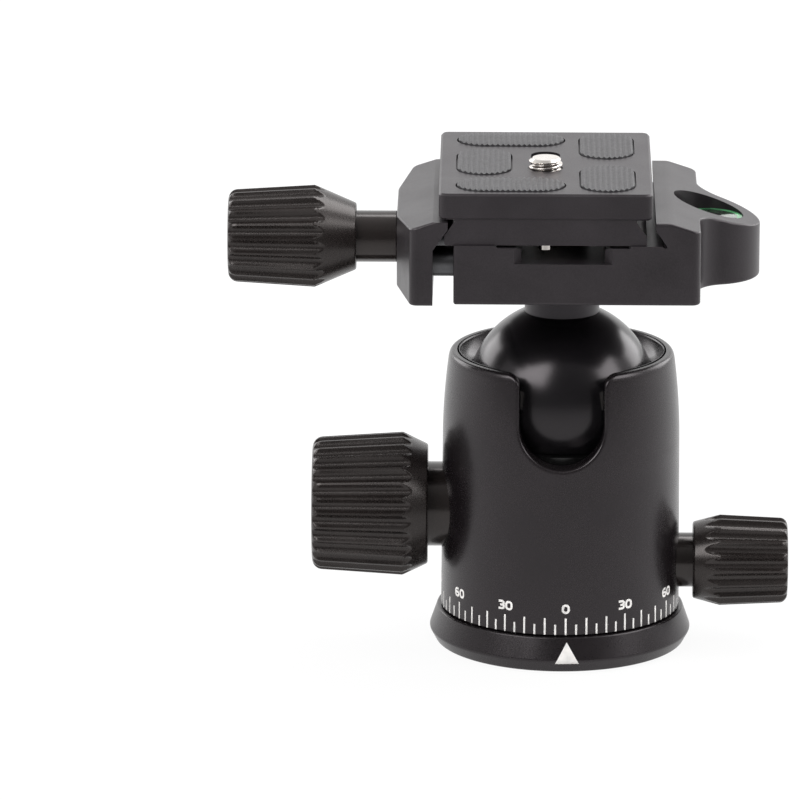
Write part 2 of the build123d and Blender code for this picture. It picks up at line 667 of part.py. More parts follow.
def clamp_section():
    """Cross-section of the clamp body: dovetail floor, fixed lip and the falling jaw top."""
    far = NOSE_X + NOSE_R + PAST
    under = LIP_TOP_Z - LIP_LAND - FLOOR_Z
    wall = LIP_X + under * FLANK
    flat_end = LIP_X + LIP_FLAT
    section = make_face(
        Polyline(
            (CLAMP_LEFT, CLAMP_Z),
            (far, CLAMP_Z),
            (far, LIP_TOP_Z - (far - flat_end) * FALL),
            (flat_end, LIP_TOP_Z),
            (LIP_X, LIP_TOP_Z),
            (LIP_X, LIP_TOP_Z - LIP_LAND),
            (wall, FLOOR_Z),
            (wall, FLOOR_Z - LIP_NICK),
            (wall - 2 * LIP_NICK, FLOOR_Z - LIP_NICK),
            (wall - 3 * LIP_NICK, FLOOR_Z),
            (RELIEF_HALF, FLOOR_Z),
            (RELIEF_HALF - RELIEF_DEPTH, FLOOR_Z - RELIEF_DEPTH),
            (SLOT_HALF + 1.0, FLOOR_Z - RELIEF_DEPTH),
            (SLOT_HALF, FLOOR_Z - RELIEF_DEPTH - 0.5),
            (SLOT_HALF, SLOT_Z),
            (-SLOT_HALF, SLOT_Z),
            (-SLOT_HALF, FLOOR_Z - RELIEF_DEPTH - 0.5),
            (-SLOT_HALF - 1.0, FLOOR_Z - RELIEF_DEPTH),
            (-RELIEF_HALF + RELIEF_DEPTH, FLOOR_Z - RELIEF_DEPTH),
            (-RELIEF_HALF, FLOOR_Z),
            (CLAMP_LEFT, FLOOR_Z),
            close=True,
        )
    )
    crest = [v for v in section.vertices() if abs(v.X - flat_end) < 0.01]
    return fillet(crest, LIP_CREST_R)


def slot_flare():
    """Flared mouths of the floor's slot at both ends of the clamp."""
    end = CLAMP_LENGTH / 2
    wide = SLOT_HALF + SLOT_BEVEL
    plan = make_face(Polyline((-wide, end), (wide, end), (0, end - wide), close=True))
    front = extrude(Pos(0, 0, SLOT_Z) * plan, FLOOR_Z - SLOT_Z)
    return front + Rot(0, 0, 180) * front


def clamp_body():
    height = CLAMP_LIP_Z + 1.0
    blank = extrude(Pos(0, 0, CLAMP_Z) * clamp_plan(), height)
    body = blank & along_y(clamp_section(), CLAMP_LENGTH / 2 + 1)
    bottom = body.faces().sort_by(Axis.Z)[0]
    body = fillet(bottom.edges(), CLAMP_EDGE)
    body -= slot_flare()
    sloped = [
        f for f in body.faces().filter_by(GeomType.PLANE) if abs(f.normal_at().Z - cos(radians(JAW_SLOPE))) < 0.01
    ]
    crest_end = LIP_X + LIP_FLAT + LIP_CREST_R
    rim = sloped[0].outer_wire().edges().filter_by(lambda e: e.center().X > crest_end)
    body = fillet(rim, CLAMP_EDGE)
    body -= Pos(NOSE_X, 0, 0) * rod(LEVEL_R, CLAMP_Z + LEVEL_DEPTH, LIP_TOP_Z + 2)
    body -= rod(STEM_BOLT_R + RUN_GAP, CLAMP_Z - 1, SLOT_Z + 1)
    insert_end = -CLAMP_LEFT - CLAMP_INSERT_L
    tip = -CLAMP_SCREW_TIP - JAW_CLOSING - 0.3
    body -= to_left(SCREW_Z) * rod(CLAMP_INSERT_R, insert_end, -CLAMP_LEFT + 1)
    body -= to_left(SCREW_Z) * rod(CLAMP_SCREW_R + RUN_GAP, tip, -CLAMP_LEFT + 1)
    for y in (-PIN_Y, PIN_Y):
        body -= to_left(SCREW_Z, y) * rod(PIN_R + RUN_GAP, -PIN_BORE_END, -CLAMP_LEFT + 1)
    return body


def clamp_insert():
    start = -CLAMP_LEFT - CLAMP_INSERT_L
    ring = tube(CLAMP_INSERT_R - PRESS_GAP, CLAMP_SCREW_R + RUN_GAP, start, -CLAMP_LEFT)
    return to_left(SCREW_Z) * ring


def level_cup():
    """Cup of the bubble level, with a marked ring round the bubble."""
    low = CLAMP_Z + LEVEL_DEPTH
    high = low + LEVEL_CUP_H
    cup = rod(LEVEL_R - PRESS_GAP, low, high)
    return Pos(NOSE_X, 0, 0) * (cup - rod(LEVEL_R - LEVEL_CUP_WALL, low + LEVEL_CUP_WALL, high))


def level_vial():
    """Clear vial in the cup, filled to a bubble, with a slightly domed top."""
    low = CLAMP_Z + LEVEL_DEPTH + LEVEL_CUP_WALL
    high = CLAMP_Z + LEVEL_DEPTH + LEVEL_CUP_H
    inner = LEVEL_R - LEVEL_CUP_WALL - PRESS_GAP
    brim = LEVEL_R - PRESS_GAP
    top = high + LEVEL_LENS_H
    dome = (brim**2 + LEVEL_LENS_DOME**2) / (2 * LEVEL_LENS_DOME)
    lens = rod(brim, high, top) & Pos(0, 0, top - dome) * Sphere(dome)
    return Pos(NOSE_X, 0, 0) * (rod(inner, low, high) + lens)


# ---- moving jaw ------------------------------------------------------------------------------
def jaw_plan():
    """Plan of the jaw: straight inside, with facets that thicken it towards the screw."""
    half = CLAMP_LENGTH / 2
    lip = JAW_FACE + JAW_LIP
    outline = Polyline(
        (lip, -half),
        (lip, half),
        (JAW_FACE - JAW_END_W, half),
        (JAW_BACK, JAW_MID_HALF),
        (JAW_BACK, -JAW_MID_HALF),
        (JAW_FACE - JAW_END_W, -half),
        close=True,
    )
    plan = make_face(outline)
    ends = [v for v in plan.vertices() if abs(v.X - (JAW_FACE - JAW_END_W)) < 0.01]
    plan = fillet(ends, CLAMP_CORNER)
    mids = [v for v in plan.vertices() if abs(v.X - JAW_BACK) < 0.01 and abs(abs(v.Y) - JAW_MID_HALF) < 0.01]
    return fillet(mids, 4 * CLAMP_CORNER)


def jaw_section():
    lip = JAW_FACE + JAW_LIP
    under = LIP_TOP_Z - LIP_LAND
    far = JAW_BACK - 2.0
    return make_face(
        Polyline(
            (JAW_FACE, CLAMP_Z - JAW_DROP),
            (JAW_FACE, under - JAW_LIP / FLANK),
            (lip, under),
            (lip, LIP_TOP_Z),
            (JAW_FACE, LIP_TOP_Z),
            (far, LIP_TOP_Z - (JAW_FACE - far) * FALL),
            (far, CLAMP_Z - JAW_DROP),
            close=True,
        )
    )


def moving_jaw():
    blank = extrude(Pos(0, 0, CLAMP_Z - JAW_DROP) * jaw_plan(), CLAMP_LIP_Z + JAW_DROP + 1)
    jaw = blank & along_y(jaw_section(), CLAMP_LENGTH / 2 + 1)
    bottom = jaw.faces().sort_by(Axis.Z)[0]
    jaw = fillet(bottom.edges().filter_by(lambda e: e.center().X < JAW_FACE - 0.5), CLAMP_EDGE)
    sloped = [
        f for f in jaw.faces().filter_by(GeomType.PLANE) if abs(f.normal_at().Z - cos(radians(JAW_SLOPE))) < 0.01
    ]
    crest = sloped[0].outer_wire().edges().filter_by(lambda e: e.center().X < JAW_FACE - 0.5)
    jaw = fillet(crest, CLAMP_EDGE)
    jaw -= to_left(SCREW_Z) * rod(CLAMP_SCREW_R + RUN_GAP, -JAW_FACE - 1, -JAW_BACK + 1)
    for y in (-PIN_Y, PIN_Y):
        jaw -= to_left(SCREW_Z, y) * rod(PIN_R, -JAW_FACE - 1, -JAW_FACE + JAW_END_W / 2)
    return jaw


def guide_pins():
    """Two steel pins pressed into the jaw that slide in the clamp body."""
    pins = []
    for y in (-PIN_Y, PIN_Y):
        pins.append(to_left(SCREW_Z, y) * rod(PIN_R - PRESS_GAP, -PIN_TIP, -JAW_FACE + JAW_END_W / 2))
    return Compound(children=pins)


def jaw_springs():
    """Two coil springs behind the guide pins that push the jaw open."""
    length = PIN_BORE_END - PIN_TIP
    coil_r = PIN_R - SPRING_WIRE - 0.1
    pitch = (length - 2 * SPRING_WIRE) / SPRING_TURNS
    springs = []
    for y in (-PIN_Y, PIN_Y):
        path = Helix(pitch=pitch, height=pitch * SPRING_TURNS, radius=coil_r)
        section = Plane(origin=path @ 0, z_dir=path % 0) * Circle(SPRING_WIRE / 2)
        coil = sweep(section, path=path)
        springs.append(to_left(SCREW_Z, y) * Pos(0, 0, -PIN_BORE_END + SPRING_WIRE) * coil)
    return Compound(children=springs)


def clamp_sleeve():
    ring = tube(SLEEVE_R, CLAMP_SCREW_R - RUN_GAP + PRESS_GAP, -JAW_BACK, -SLEEVE_END)
    return to_left(SCREW_Z) * ring


def clamp_knob():
    knob = fluted_knob(
        CLAMP_KNOB_BACK_R * 0.8,
        -SLEEVE_END,
        -SLEEVE_END,
        CLAMP_KNOB_BACK_R,
        CLAMP_KNOB_CONE_L,
        CLAMP_KNOB_MAX_R,
        CLAMP_KNOB_LENGTH,
        CLAMP_KNOB_END_R,
        CLAMP_KNOB_ROUND,
        CLAMP_KNOB_FLUTES,
    )
    hole = rod(CLAMP_SCREW_R - RUN_GAP + PRESS_GAP, 0, -SLEEVE_END + CLAMP_KNOB_LENGTH / 2)
    return to_left(SCREW_Z) * (knob - hole)


def clamp_screw():
    return to_left(SCREW_Z) * rod(
        CLAMP_SCREW_R - RUN_GAP, -CLAMP_SCREW_TIP, -SLEEVE_END + CLAMP_KNOB_LENGTH / 2
    )


# ---- quick release plate ---------------------------------------------------------------------
def pad_places():
    """Centre and heading of the five pads: two lie along X, three along Y."""
    right = PAD_RIGHT_X - PAD_W / 2
    left = PAD_W / 2 - PAD_LEFT_X
    rows = PLATE_L / 2 - PAD_MARGIN_Y - PAD_L / 2
    return [
        Location((PLATE_X - PAD_SHIFT_X, PAD_SHIFT_Y, 0)),
        Location((PLATE_X - PAD_SHIFT_X, -PAD_SHIFT_Y, 0)),
        Location((PLATE_X + left, 0, 0), (0, 0, 90)),
        Location((PLATE_X + right, rows, 0), (0, 0, 90)),
        Location((PLATE_X + right, -rows, 0), (0, 0, 90)),
    ]


def pad(grow=0.0, low=0.0, high=0.0):
    return extrude(Pos(0, 0, low) * SlotOverall(PAD_L + 2 * grow, PAD_W + 2 * grow), high - low)


def plate():
    """Aluminium plate: slab with rounded corners over a dovetail, pockets for the pads."""
    half = PLATE_W / 2
    foot = DOVETAIL_W / 2
    neck = DOVETAIL_NECK_W / 2
    land = FLOOR_Z + DOVETAIL_LAND
    slab = extrude(Pos(PLATE_X, 0, SLAB_Z) * RectangleRounded(PLATE_W, PLATE_L, PLATE_CORNER), PLATE_SLAB_H)
    slab = chamfer(slab.edges().group_by(Axis.Z)[-1] + slab.edges().group_by(Axis.Z)[0], PLATE_EDGE)
    right = [
        (neck, SLAB_Z + 0.5),
        (neck, land + (foot - neck) / FLANK),
        (foot, land),
        (foot, FLOOR_Z + PLATE_EDGE / 2),
        (foot - PLATE_EDGE / 2, FLOOR_Z),
    ]
    left = [(-x, z) for x, z in reversed(right)]
    tongue = along_y(make_face(Polyline(*right, *left, close=True)), PLATE_L / 2 - PLATE_EDGE)
    body = slab + Pos(PLATE_X, 0, 0) * tongue
    for place in pad_places():
        body -= place * pad(PAD_GAP, PLATE_TOP - PAD_SINK, PLATE_TOP + 1)
    body -= screw_run(SCREW_SLOT_R, POCKET_TOP - 1, PLATE_TOP + 1)
    body -= Pos(PLATE_X, SCREW_Y, 0) * rod(SCREW_R + RUN_GAP, POCKET_TOP - 1, PLATE_TOP + 1)
    body -= screw_run(POCKET_R, FLOOR_Z - 1, POCKET_TOP)
    for pin in stop_pin_places():
        body -= pin * rod(STOP_PIN_R, FLOOR_Z - 1, FLOOR_Z + STOP_PIN_SINK)
    return body


def screw_run(radius, low, high):
    """Slot that a round piece of this radius sweeps as the camera screw slides back."""
    run = SCREW_SLOT_BACK - SCREW_Y
    slot = SlotCenterToCenter(run, 2 * radius, rotation=90)
    return extrude(Pos(PLATE_X, SCREW_Y + run / 2, low) * slot, high - low)


def stop_pin_places():
    y = PLATE_L / 2 - STOP_PIN_INSET
    return [Pos(PLATE_X, -y, 0), Pos(PLATE_X, y, 0)]


def stop_pins():
    """Two small pins under the plate that meet the bolt head before the plate can slide out."""
    pins = [
        place * rod(STOP_PIN_R - PRESS_GAP, FLOOR_Z - STOP_PIN_DROP, FLOOR_Z + STOP_PIN_SINK)
        for place in stop_pin_places()
    ]
    return Compound(children=pins)


def rubber_pads():
    pads = [place * pad(0, PLATE_TOP - PAD_SINK, PLATE_TOP + PAD_PROUD) for place in pad_places()]
    return Compound(children=pads)


def screw_washer():
    ring = tube(SCREW_HEAD_R - 0.3, SCREW_SHANK_R + RUN_GAP, HEAD_TOP, HEAD_TOP + WASHER_H)
    return Pos(PLATE_X, SCREW_Y, 0) * ring


def camera_screw():
    """1/4 inch camera screw: coin slot in the head, relieved shank, short thread at the tip."""
    low = HEAD_TOP - SCREW_HEAD_H
    thread_z = SCREW_TIP_Z - SCREW_THREAD_L
    head = rod(SCREW_HEAD_R, low, HEAD_TOP)
    head = chamfer(head.edges().filter_by(GeomType.CIRCLE), 0.3)
    thread = rod(SCREW_R, thread_z, SCREW_TIP_Z)
    thread = chamfer(thread.edges().filter_by(GeomType.CIRCLE).group_by(Axis.Z)[-1], 0.5)
    screw = head + rod(SCREW_SHANK_R, HEAD_TOP - 1, thread_z + 1) + thread
    screw -= Pos(0, 0, low) * Box(3 * SCREW_HEAD_R, SCREW_COIN_W, 2 * SCREW_COIN_DEPTH)
    return Pos(PLATE_X, SCREW_Y, 0) * screw


NODES = [
    base_plate,
    thread_bushing,
    glide_washer,
    thrust_washer,
    retaining_ring,
    housing,
    upper_liner,
    support_disc,
    pan_bush,
    lock_insert,
    pan_insert,
    lock_plunger,
    lift_wedge,
    disc_spring,
    ball_seat,
    lock_knob,
    lock_screw,
    brake_shoe,
    pan_knob,
    pan_screw,
    ball,
    neck_collar,
    stem_bolt,
    clamp_body,
    clamp_insert,
    level_cup,
    level_vial,
    moving_jaw,
    guide_pins,
    jaw_springs,
    clamp_sleeve,
    clamp_knob,
    clamp_screw,
    plate,
    rubber_pads,
    stop_pins,
    screw_washer,
    camera_screw,
]

if __name__ == "__main__":
    os.makedirs("parts", exist_ok=True)
    for make in NODES:
        piece = make()
        piece.label = make.__name__
        export_step(piece, f"parts/{make.__name__}.step")
        print(make.__name__, len(piece.solids()), round(piece.volume, 2))
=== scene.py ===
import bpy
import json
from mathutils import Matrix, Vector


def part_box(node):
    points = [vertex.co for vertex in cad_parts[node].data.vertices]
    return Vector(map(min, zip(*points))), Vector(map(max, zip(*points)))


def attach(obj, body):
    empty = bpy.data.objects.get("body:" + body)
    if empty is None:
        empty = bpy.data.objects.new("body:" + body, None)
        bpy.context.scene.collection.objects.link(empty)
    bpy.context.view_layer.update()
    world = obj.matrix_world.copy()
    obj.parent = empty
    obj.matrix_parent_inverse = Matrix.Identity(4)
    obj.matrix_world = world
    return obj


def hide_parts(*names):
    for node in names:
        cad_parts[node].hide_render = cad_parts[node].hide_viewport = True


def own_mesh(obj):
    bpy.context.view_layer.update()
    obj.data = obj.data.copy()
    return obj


bl_info = {
    "name": "Tripod ball head finish",
    "version": (1, 0, 0),
    "blender": (4, 5, 0),
    "location": "3D View > Sidebar > Ball Head",
    "description": "Surfaces, finishes and studio stage for a tripod ball head with a dovetail clamp",
    "category": "Object",
}

import json
import math

import bmesh
import bpy
import numpy as np
from bpy.props import FloatProperty, FloatVectorProperty, IntProperty, PointerProperty
from bpy.types import Operator, Panel, PropertyGroup
from mathutils import Matrix, Vector

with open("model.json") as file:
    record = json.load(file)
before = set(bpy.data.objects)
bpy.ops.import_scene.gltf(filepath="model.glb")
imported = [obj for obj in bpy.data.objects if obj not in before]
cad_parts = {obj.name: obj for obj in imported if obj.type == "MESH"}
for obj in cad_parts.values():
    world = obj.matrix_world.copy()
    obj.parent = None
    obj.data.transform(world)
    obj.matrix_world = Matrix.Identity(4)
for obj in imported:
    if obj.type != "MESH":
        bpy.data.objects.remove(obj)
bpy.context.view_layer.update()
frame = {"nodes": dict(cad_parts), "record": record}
NODES = frame["nodes"]
MM = 0.001
TURN = 2.0 * math.pi
SMOOTH_BELOW = math.radians(38.0)
MERGE_WITHIN = 2e-7
DROP_BELOW = 1e-8
CLEARANCE = 0.02 * MM
RIM_ROUND = 0.75 * MM


def size(text, words, default):
    """A length property in metres, shown in the scene's unit."""
    return FloatProperty(name=text, description=words, default=default, unit="LENGTH", precision=5)


def tint(text, words, default):
    """A linear colour property."""
    return FloatVectorProperty(
        name=text, description=words, default=default, subtype="COLOR", size=3, min=0.0, max=1.0
    )


def share(text, words, default):
    """A plain number property."""
    return FloatProperty(name=text, description=words, default=default)


# ---- sizes and colours -------------------------------------------------------------------------
class HousingSizes(PropertyGroup):
    bottom_r: size("Bottom radius", "Outer radius at the bottom edge", 0.0228)
    waist_r: size("Waist radius", "Outer radius where the wall starts to draw in", 0.0226)
    waist_z: size("Waist height", "Height where the wall starts to draw in", 0.040)
    shoulder_r: size("Shoulder radius", "Outer radius just under the rounded rim", 0.02155)
    shoulder_z: size("Shoulder height", "Height just under the rounded rim", 0.0554)
    crest_r: size("Crest radius", "Outer radius of the flat crest", 0.02055)
    bowl_r: size("Bowl radius", "Inner radius of the bowl under the crest", 0.0194)
    bowl_edge: size("Bowl edge", "Rounding between the crest and the bowl", 0.0005)
    bore_r: size("Bore radius", "Inner radius of the wall", 0.0186)
    lip_r: size("Lip radius", "Inner radius of the lip over the liner", 0.01757)
    lip_z: size("Lip height", "Underside of the lip", 0.053)
    lip_h: size("Lip land", "Height of the upright edge of the lip", 0.0007)
    notch_half: size("Notch half width", "Half the width of the drop notch", 0.008)
    notch_z: size("Notch centre height", "Height of the centre of the notch's round bottom", 0.0472)
    notch_edge: size("Notch edge", "Rounding of the outer edge of the notch", 0.0008)
    notch_corner: size("Notch corner", "Rounding where the notch runs out on the crest", 0.0024)
    seat_gap: size("Seat gap", "Clearance round the knob collars", 0.00025)
    lock_seat_x: size("Lock seat floor", "Floor of the lock collar's counterbore", 0.0206)
    pan_seat_x: size("Pan seat floor", "Floor of the panning collar's counterbore", 0.0212)


class BaseSizes(PropertyGroup):
    foot_r: size("Foot radius", "Outer radius of the bearing face", 0.0237)
    rim_r: size("Rim radius", "Widest radius", 0.025)
    rim_z: size("Rim height", "Height of the widest radius", 0.0024)
    top_r: size("Top radius", "Radius of the cone's upper edge", 0.0235)
    top_z: size("Top height", "Height of the cone's upper edge", 0.0067)
    mark_half: size("Index half width", "Half the width of the index mark at its foot", 0.0023)
    mark_top: size("Index height", "Height of the index mark's tip", 0.0059)
    mark_low: size("Index foot", "Height of the index mark's foot", 0.0019)
    mark_turn: share("Index turn", "Turn of the index mark from the front in degrees", 2.9)


class ScaleSizes(PropertyGroup):
    zero: share("Zero turn", "Turn of the zero mark from the front in degrees", 2.5)
    long_tick: size("Long tick", "Height of the ten degree marks", 0.0034)
    short_tick: size("Short tick", "Height of the five degree marks", 0.00215)
    tick_width: size("Tick width", "Width of every mark", 0.00036)
    digit: size("Digit height", "Height of the figures", 0.00185)
    stroke: size("Stroke", "Width of the figures' strokes", 0.00044)
    lift: size("Figure lift", "From the marks' tops to the figures", 0.0009)


class NeckSizes(PropertyGroup):
    ball_r: size("Ball radius", "Radius of the ball", 0.018)
    ball_z: size("Ball height", "Height of the ball's centre", 0.0482)
    neck_r: size("Neck radius", "Radius of the turned neck", 0.0071)
    bore_r: size("Neck bore", "Bore for the stem bolt", 0.00308)


def knob_sizes(class_name, words, flutes, **sizes):
    """A group with the sizes of one knob, given in millimetres from the axis that it screws towards."""
    labels = {
        "collar_r": ("Collar radius", "Radius of the plain collar"),
        "collar": ("Collar start", "Inner end of the collar"),
        "back": ("Back face", "Where the cone's small end lies"),
        "back_r": ("Back radius", "Radius of the cone's small end"),
        "cone": ("Cone length", "Length of the smooth cone"),
        "max_r": ("Widest radius", "Radius where cone and grip meet"),
        "length": ("Length", "Length of cone and grip"),
        "end_r": ("End radius", "Radius of the grip at its outer end"),
        "end_round": ("End rounding", "Rounding of the outer end"),
    }
    fields = {key: size(*labels[key], value * MM) for key, value in sizes.items()}
    fields["flutes"] = IntProperty(name="Flutes", description="Number of flutes", default=flutes, min=3)
    return type(class_name, (PropertyGroup,), {"__doc__": words, "__annotations__": fields})


LockKnob = knob_sizes(
    "LockKnob", "Ball lock knob", 28, collar_r=8.1, collar=20.9, back=25.4, back_r=11.4, cone=4.8,
    max_r=13.7, length=22.1, end_r=12.6, end_round=2.0,
)
PanKnob = knob_sizes(
    "PanKnob", "Panning lock knob", 18, collar_r=5.2, collar=21.5, back=25.4, back_r=7.3, cone=5.2,
    max_r=8.7, length=18.1, end_r=8.1, end_round=1.5,
)
ClampKnob = knob_sizes(
    "ClampKnob", "Clamp knob with its sleeve", 20, collar_r=4.9, collar=31.3, back=39.1, back_r=6.3,
    cone=7.9, max_r=9.7, length=24.3, end_r=8.7, end_round=1.8,
)


class FluteSizes(PropertyGroup):
    share: share("Groove share", "Groove width over pitch", 0.76)
    depth: share("Groove depth", "Groove depth over groove width", 0.42)


class PadSizes(PropertyGroup):
    long: size("Pad length", "Length of each rubber pad", 0.0205)
    wide: size("Pad width", "Width of each rubber pad", 0.0104)
    pitch: size("Rib pitch", "Distance between the ribs", 0.001)
    relief: size("Rib relief", "Depth of the grooves between the ribs", 0.00028)
    edge: size("Pad edge", "Rounding of the pads' upper edge", 0.00014)
    gap: size("Pad gap", "Gap between a pad and its pocket", 0.00016)


class ScrewSizes(PropertyGroup):
    outer_r: size("Thread radius", "Outer radius of the camera thread", 0.003175)
    depth: size("Thread depth", "Depth of the thread", 0.00068)
    pitch: size("Pitch", "Rise of the thread in one turn", 0.00127)
    lead: size("Thread lead", "Drop of the thread's first turn under the tip", 0.00035)
    thread: size("Thread length", "Length of the threaded end", 0.0049)
    tip_r: size("Tip radius", "Radius of the flat tip", 0.0026)
    shank_r: size("Shank radius", "Radius of the relieved shank", 0.0026)
    head_r: size("Head radius", "Radius of the head", 0.0064)
    head_h: size("Head height", "Height of the head", 0.0023)
    coin_w: size("Coin slot width", "Width of the slot in the head", 0.0015)
    coin_d: size("Coin slot depth", "Depth of the slot in the head", 0.0011)


class SpringSizes(PropertyGroup):
    coil_r: size("Coil radius", "Middle radius of the coils", 0.0023)
    wire_r: size("Wire radius", "Radius of the wire", 0.00025)
    turns: IntProperty(name="Turns", description="Number of turns", default=4, min=2)


class LevelSizes(PropertyGroup):
    lens_h: size("Lens height", "Height of the clear lens over the fluid", 0.0006)
    dome: size("Lens dome", "Rise of the lens from its edge to its middle", 0.00018)
    wall: size("Vial wall", "Wall of the vial", 0.0009)
    ring: size("Green ring", "Width of the green ring", 0.001)
    target_r: size("Target radius", "Radius of the circle round the bubble", 0.0023)
    # Size of the white ring that paints the bubble's glint.
    bubble_r: size("Bubble radius", "Radius of the bubble", 0.0014)


class Finishes(PropertyGroup):
    satin: tint("Satin black", "Anodised housing and base", (0.0078, 0.0062, 0.0070))
    clamp: tint("Clamp black", "Anodised clamp and jaw", (0.0150, 0.0128, 0.0146))
    knob: tint("Knob black", "Anodised knobs", (0.0135, 0.0108, 0.0102))
    plate: tint("Plate black", "Matte anodised plate", (0.0155, 0.0132, 0.0152))
    ball: tint("Ball black", "Polished hard anodised ball", (0.0046, 0.0043, 0.0050))
    collar: tint("Collar grey", "Turned neck collar", (0.016, 0.0145, 0.018))
    rubber: tint("Pad rubber", "Rubber of the ribbed pads", (0.026, 0.024, 0.027))
    seat: tint("Seat black", "Black seat ring under the ball", (0.004, 0.004, 0.004))
    cast: tint("Anodised cast", "Tint of the gloss on anodised faces", (1.0, 0.93, 0.965))
    warm_cast: tint("Knob cast", "Tint of the gloss on the knobs", (1.0, 0.93, 0.91))
    steel: tint("Bright steel", "Nickel plated screws and bushing", (0.76, 0.72, 0.68))
    dark_steel: tint("Dark steel", "Blackened steel screws and pins", (0.12, 0.12, 0.125))
    brass: tint("Brass", "Threaded inserts", (0.62, 0.44, 0.18))
    nylon: tint("Nylon", "Bearing rings", (0.62, 0.61, 0.56))
    mark: tint("Laser white", "Scale marks and figures", (0.80, 0.78, 0.76))
    ring: tint("Level green", "Ring of the bubble level", (0.16, 0.60, 0.26))
    fluid: tint("Fluid green", "Fluid of the bubble level", (0.02, 0.06, 0.028))


class StageSizes(PropertyGroup):
    distance: size("Camera distance", "Camera to the middle of the head", 1.52)
    lens: share("Focal length", "Camera focal length in mm", 358.4)
    azimuth: share("Azimuth", "Camera turn in degrees", 0.37)
    elevation: share("Elevation", "Camera height angle in degrees", 15.24)
    roll: share("Roll", "Camera roll in degrees", 0.11)
    middle: size("Aim height", "Height of the point that the camera is placed by", 0.047)
    right: share("Place across", "Picture place of that point, pixels right of the middle", 161.3)
    up: share("Place up", "Picture place of that point, pixels above the middle", 1.4)


# ---- mesh building -----------------------------------------------------------------------------
def make_mesh(name, verts, faces):
    """A smooth mesh from arrays: equal points are merged and its volume is made positive."""
    mesh = bpy.data.meshes.new(name)
    mesh.from_pydata(np.asarray(verts, float).reshape(-1, 3).tolist(), [], np.asarray(faces).tolist())
    work = bmesh.new()
    work.from_mesh(mesh)
    bmesh.ops.remove_doubles(work, verts=work.verts, dist=MERGE_WITHIN)
    bmesh.ops.dissolve_degenerate(work, edges=work.edges, dist=DROP_BELOW)
    if work.calc_volume(signed=True) < 0.0:
        bmesh.ops.reverse_faces(work, faces=work.faces)
    work.to_mesh(mesh)
    work.free()
    return shaded(mesh)


def shaded(mesh):
    """Smooth shading with sharp edges where the surface really breaks."""
    mesh.polygons.foreach_set("use_smooth", np.ones(len(mesh.polygons), bool))
    mesh.set_sharp_from_angle(angle=SMOOTH_BELOW)
    return mesh


def grid_faces(rows, columns, closed_rows=False):
    """Quads of a grid whose columns close on themselves: each joins a row and the next."""
    u = np.arange(rows if closed_rows else rows - 1)[:, None]
    v = np.arange(columns)[None, :]
    here, ahead = u * columns, (u + 1) % rows * columns
    beside = (v + 1) % columns
    corners = np.broadcast_arrays(here + v, ahead + v, ahead + beside, here + beside)
    return np.stack(corners, -1).reshape(-1, 4)


def grid_mesh(name, grid, closed_rows=False):
    """The mesh of one grid of points."""
    return make_mesh(name, grid, grid_faces(*grid.shape[:2], closed_rows))


def join_grids(grids):
    """Several grids, each closed across its columns, as one list of points and faces."""
    verts, faces, start = [], [], 0
    for grid in grids:
        verts.append(grid.reshape(-1, 3))
        faces.append(grid_faces(*grid.shape[:2]) + start)
        start += grid.shape[0] * grid.shape[1]
    return np.concatenate(verts), np.concatenate(faces)


def capped(grid):
    """The grid with its first and its last row drawn together to a point."""
    first, last = (grid[i].mean(axis=0)[None, None].repeat(grid.shape[1], axis=1) for i in (0, -1))
    return np.concatenate([first, grid, last])


def placed(name, data):
    """A new object of the scene."""
    obj = bpy.data.objects.new(name, data)
    bpy.context.scene.collection.objects.link(obj)
    return obj


def add_piece(name, mesh, body, slot, finish=None, replaces=(), weighted=True):
    """Puts a mesh into the scene, gives it its finish and lets it ride on its body."""
    obj = placed(name, mesh)
    mesh.materials.clear()
    mesh.materials.append(FINISH[finish or slot])
    if weighted:
        mod = obj.modifiers.new("even_shading", "WEIGHTED_NORMAL")
        mod.keep_sharp = True
        mod.weight = 80
    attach(obj, body)
    if replaces:
        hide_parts(*replaces)
    return obj


def add_turned(name, corners, body, slot, finish=None, steps=160, axis="+Z", centre=(0, 0, 0), replaces=()):
    """A turned piece from (radius, height, rounding) corners in metres."""
    grid = laid(turned_grid(soft_corners(corners, steps=6), steps), axis, centre)
    return add_piece(name, grid_mesh(name, grid), body, slot, finish, replaces)


def ring_corners(bore, radius, low, high, foot=0.0, brim=0.0):
    """Closed section of a ring, with the rounding of its lower and upper outer edge."""
    return [(bore, low, 0), (radius, low, foot), (radius, high, brim), (bore, high, 0), (bore, low, 0)]


def soft_corners(corners, closed=False, steps=5):
    """Polyline through (x, y, rounding) corners: each rounding is an arc tangent to both sides."""
    pts = np.array([c[:2] for c in corners], float)
    count = len(corners)
    out = []
    for i, (_, _, rounding) in enumerate(corners):
        p = pts[i]
        if rounding <= 0 or (not closed and i in (0, count - 1)):
            out.append(p)
            continue
        a, b = pts[i - 1] - p, pts[(i + 1) % count] - p
        la, lb = np.linalg.norm(a), np.linalg.norm(b)
        a, b = a / la, b / lb
        half = math.acos(float(np.clip(a @ b, -1, 1))) / 2
        cut = min(rounding / math.tan(half), 0.49 * la, 0.49 * lb)
        radius = cut * math.tan(half)
        middle = p + (a + b) / np.linalg.norm(a + b) * (radius / math.sin(half))
        start, end = p + a * cut - middle, p + b * cut - middle
        t = np.linspace(0, 1, steps + 1)[:, None]
        span = math.pi - 2 * half
        out.append(middle + (np.sin((1 - t) * span) * start + np.sin(t * span) * end) / math.sin(span))
    return np.vstack(out)


def around(radius, angle, height):
    """Surface round the Z axis: (r cos a, r sin a, h)."""
    return np.stack([radius * np.cos(angle), radius * np.sin(angle), height + 0 * angle], -1)


def turned_grid(profile, steps=160):
    """Surface of revolution: every (r, h) of the profile is a circle round the Z axis."""
    return around(profile[:, :1], np.linspace(0, TURN, steps, endpoint=False), profile[:, 1:2])


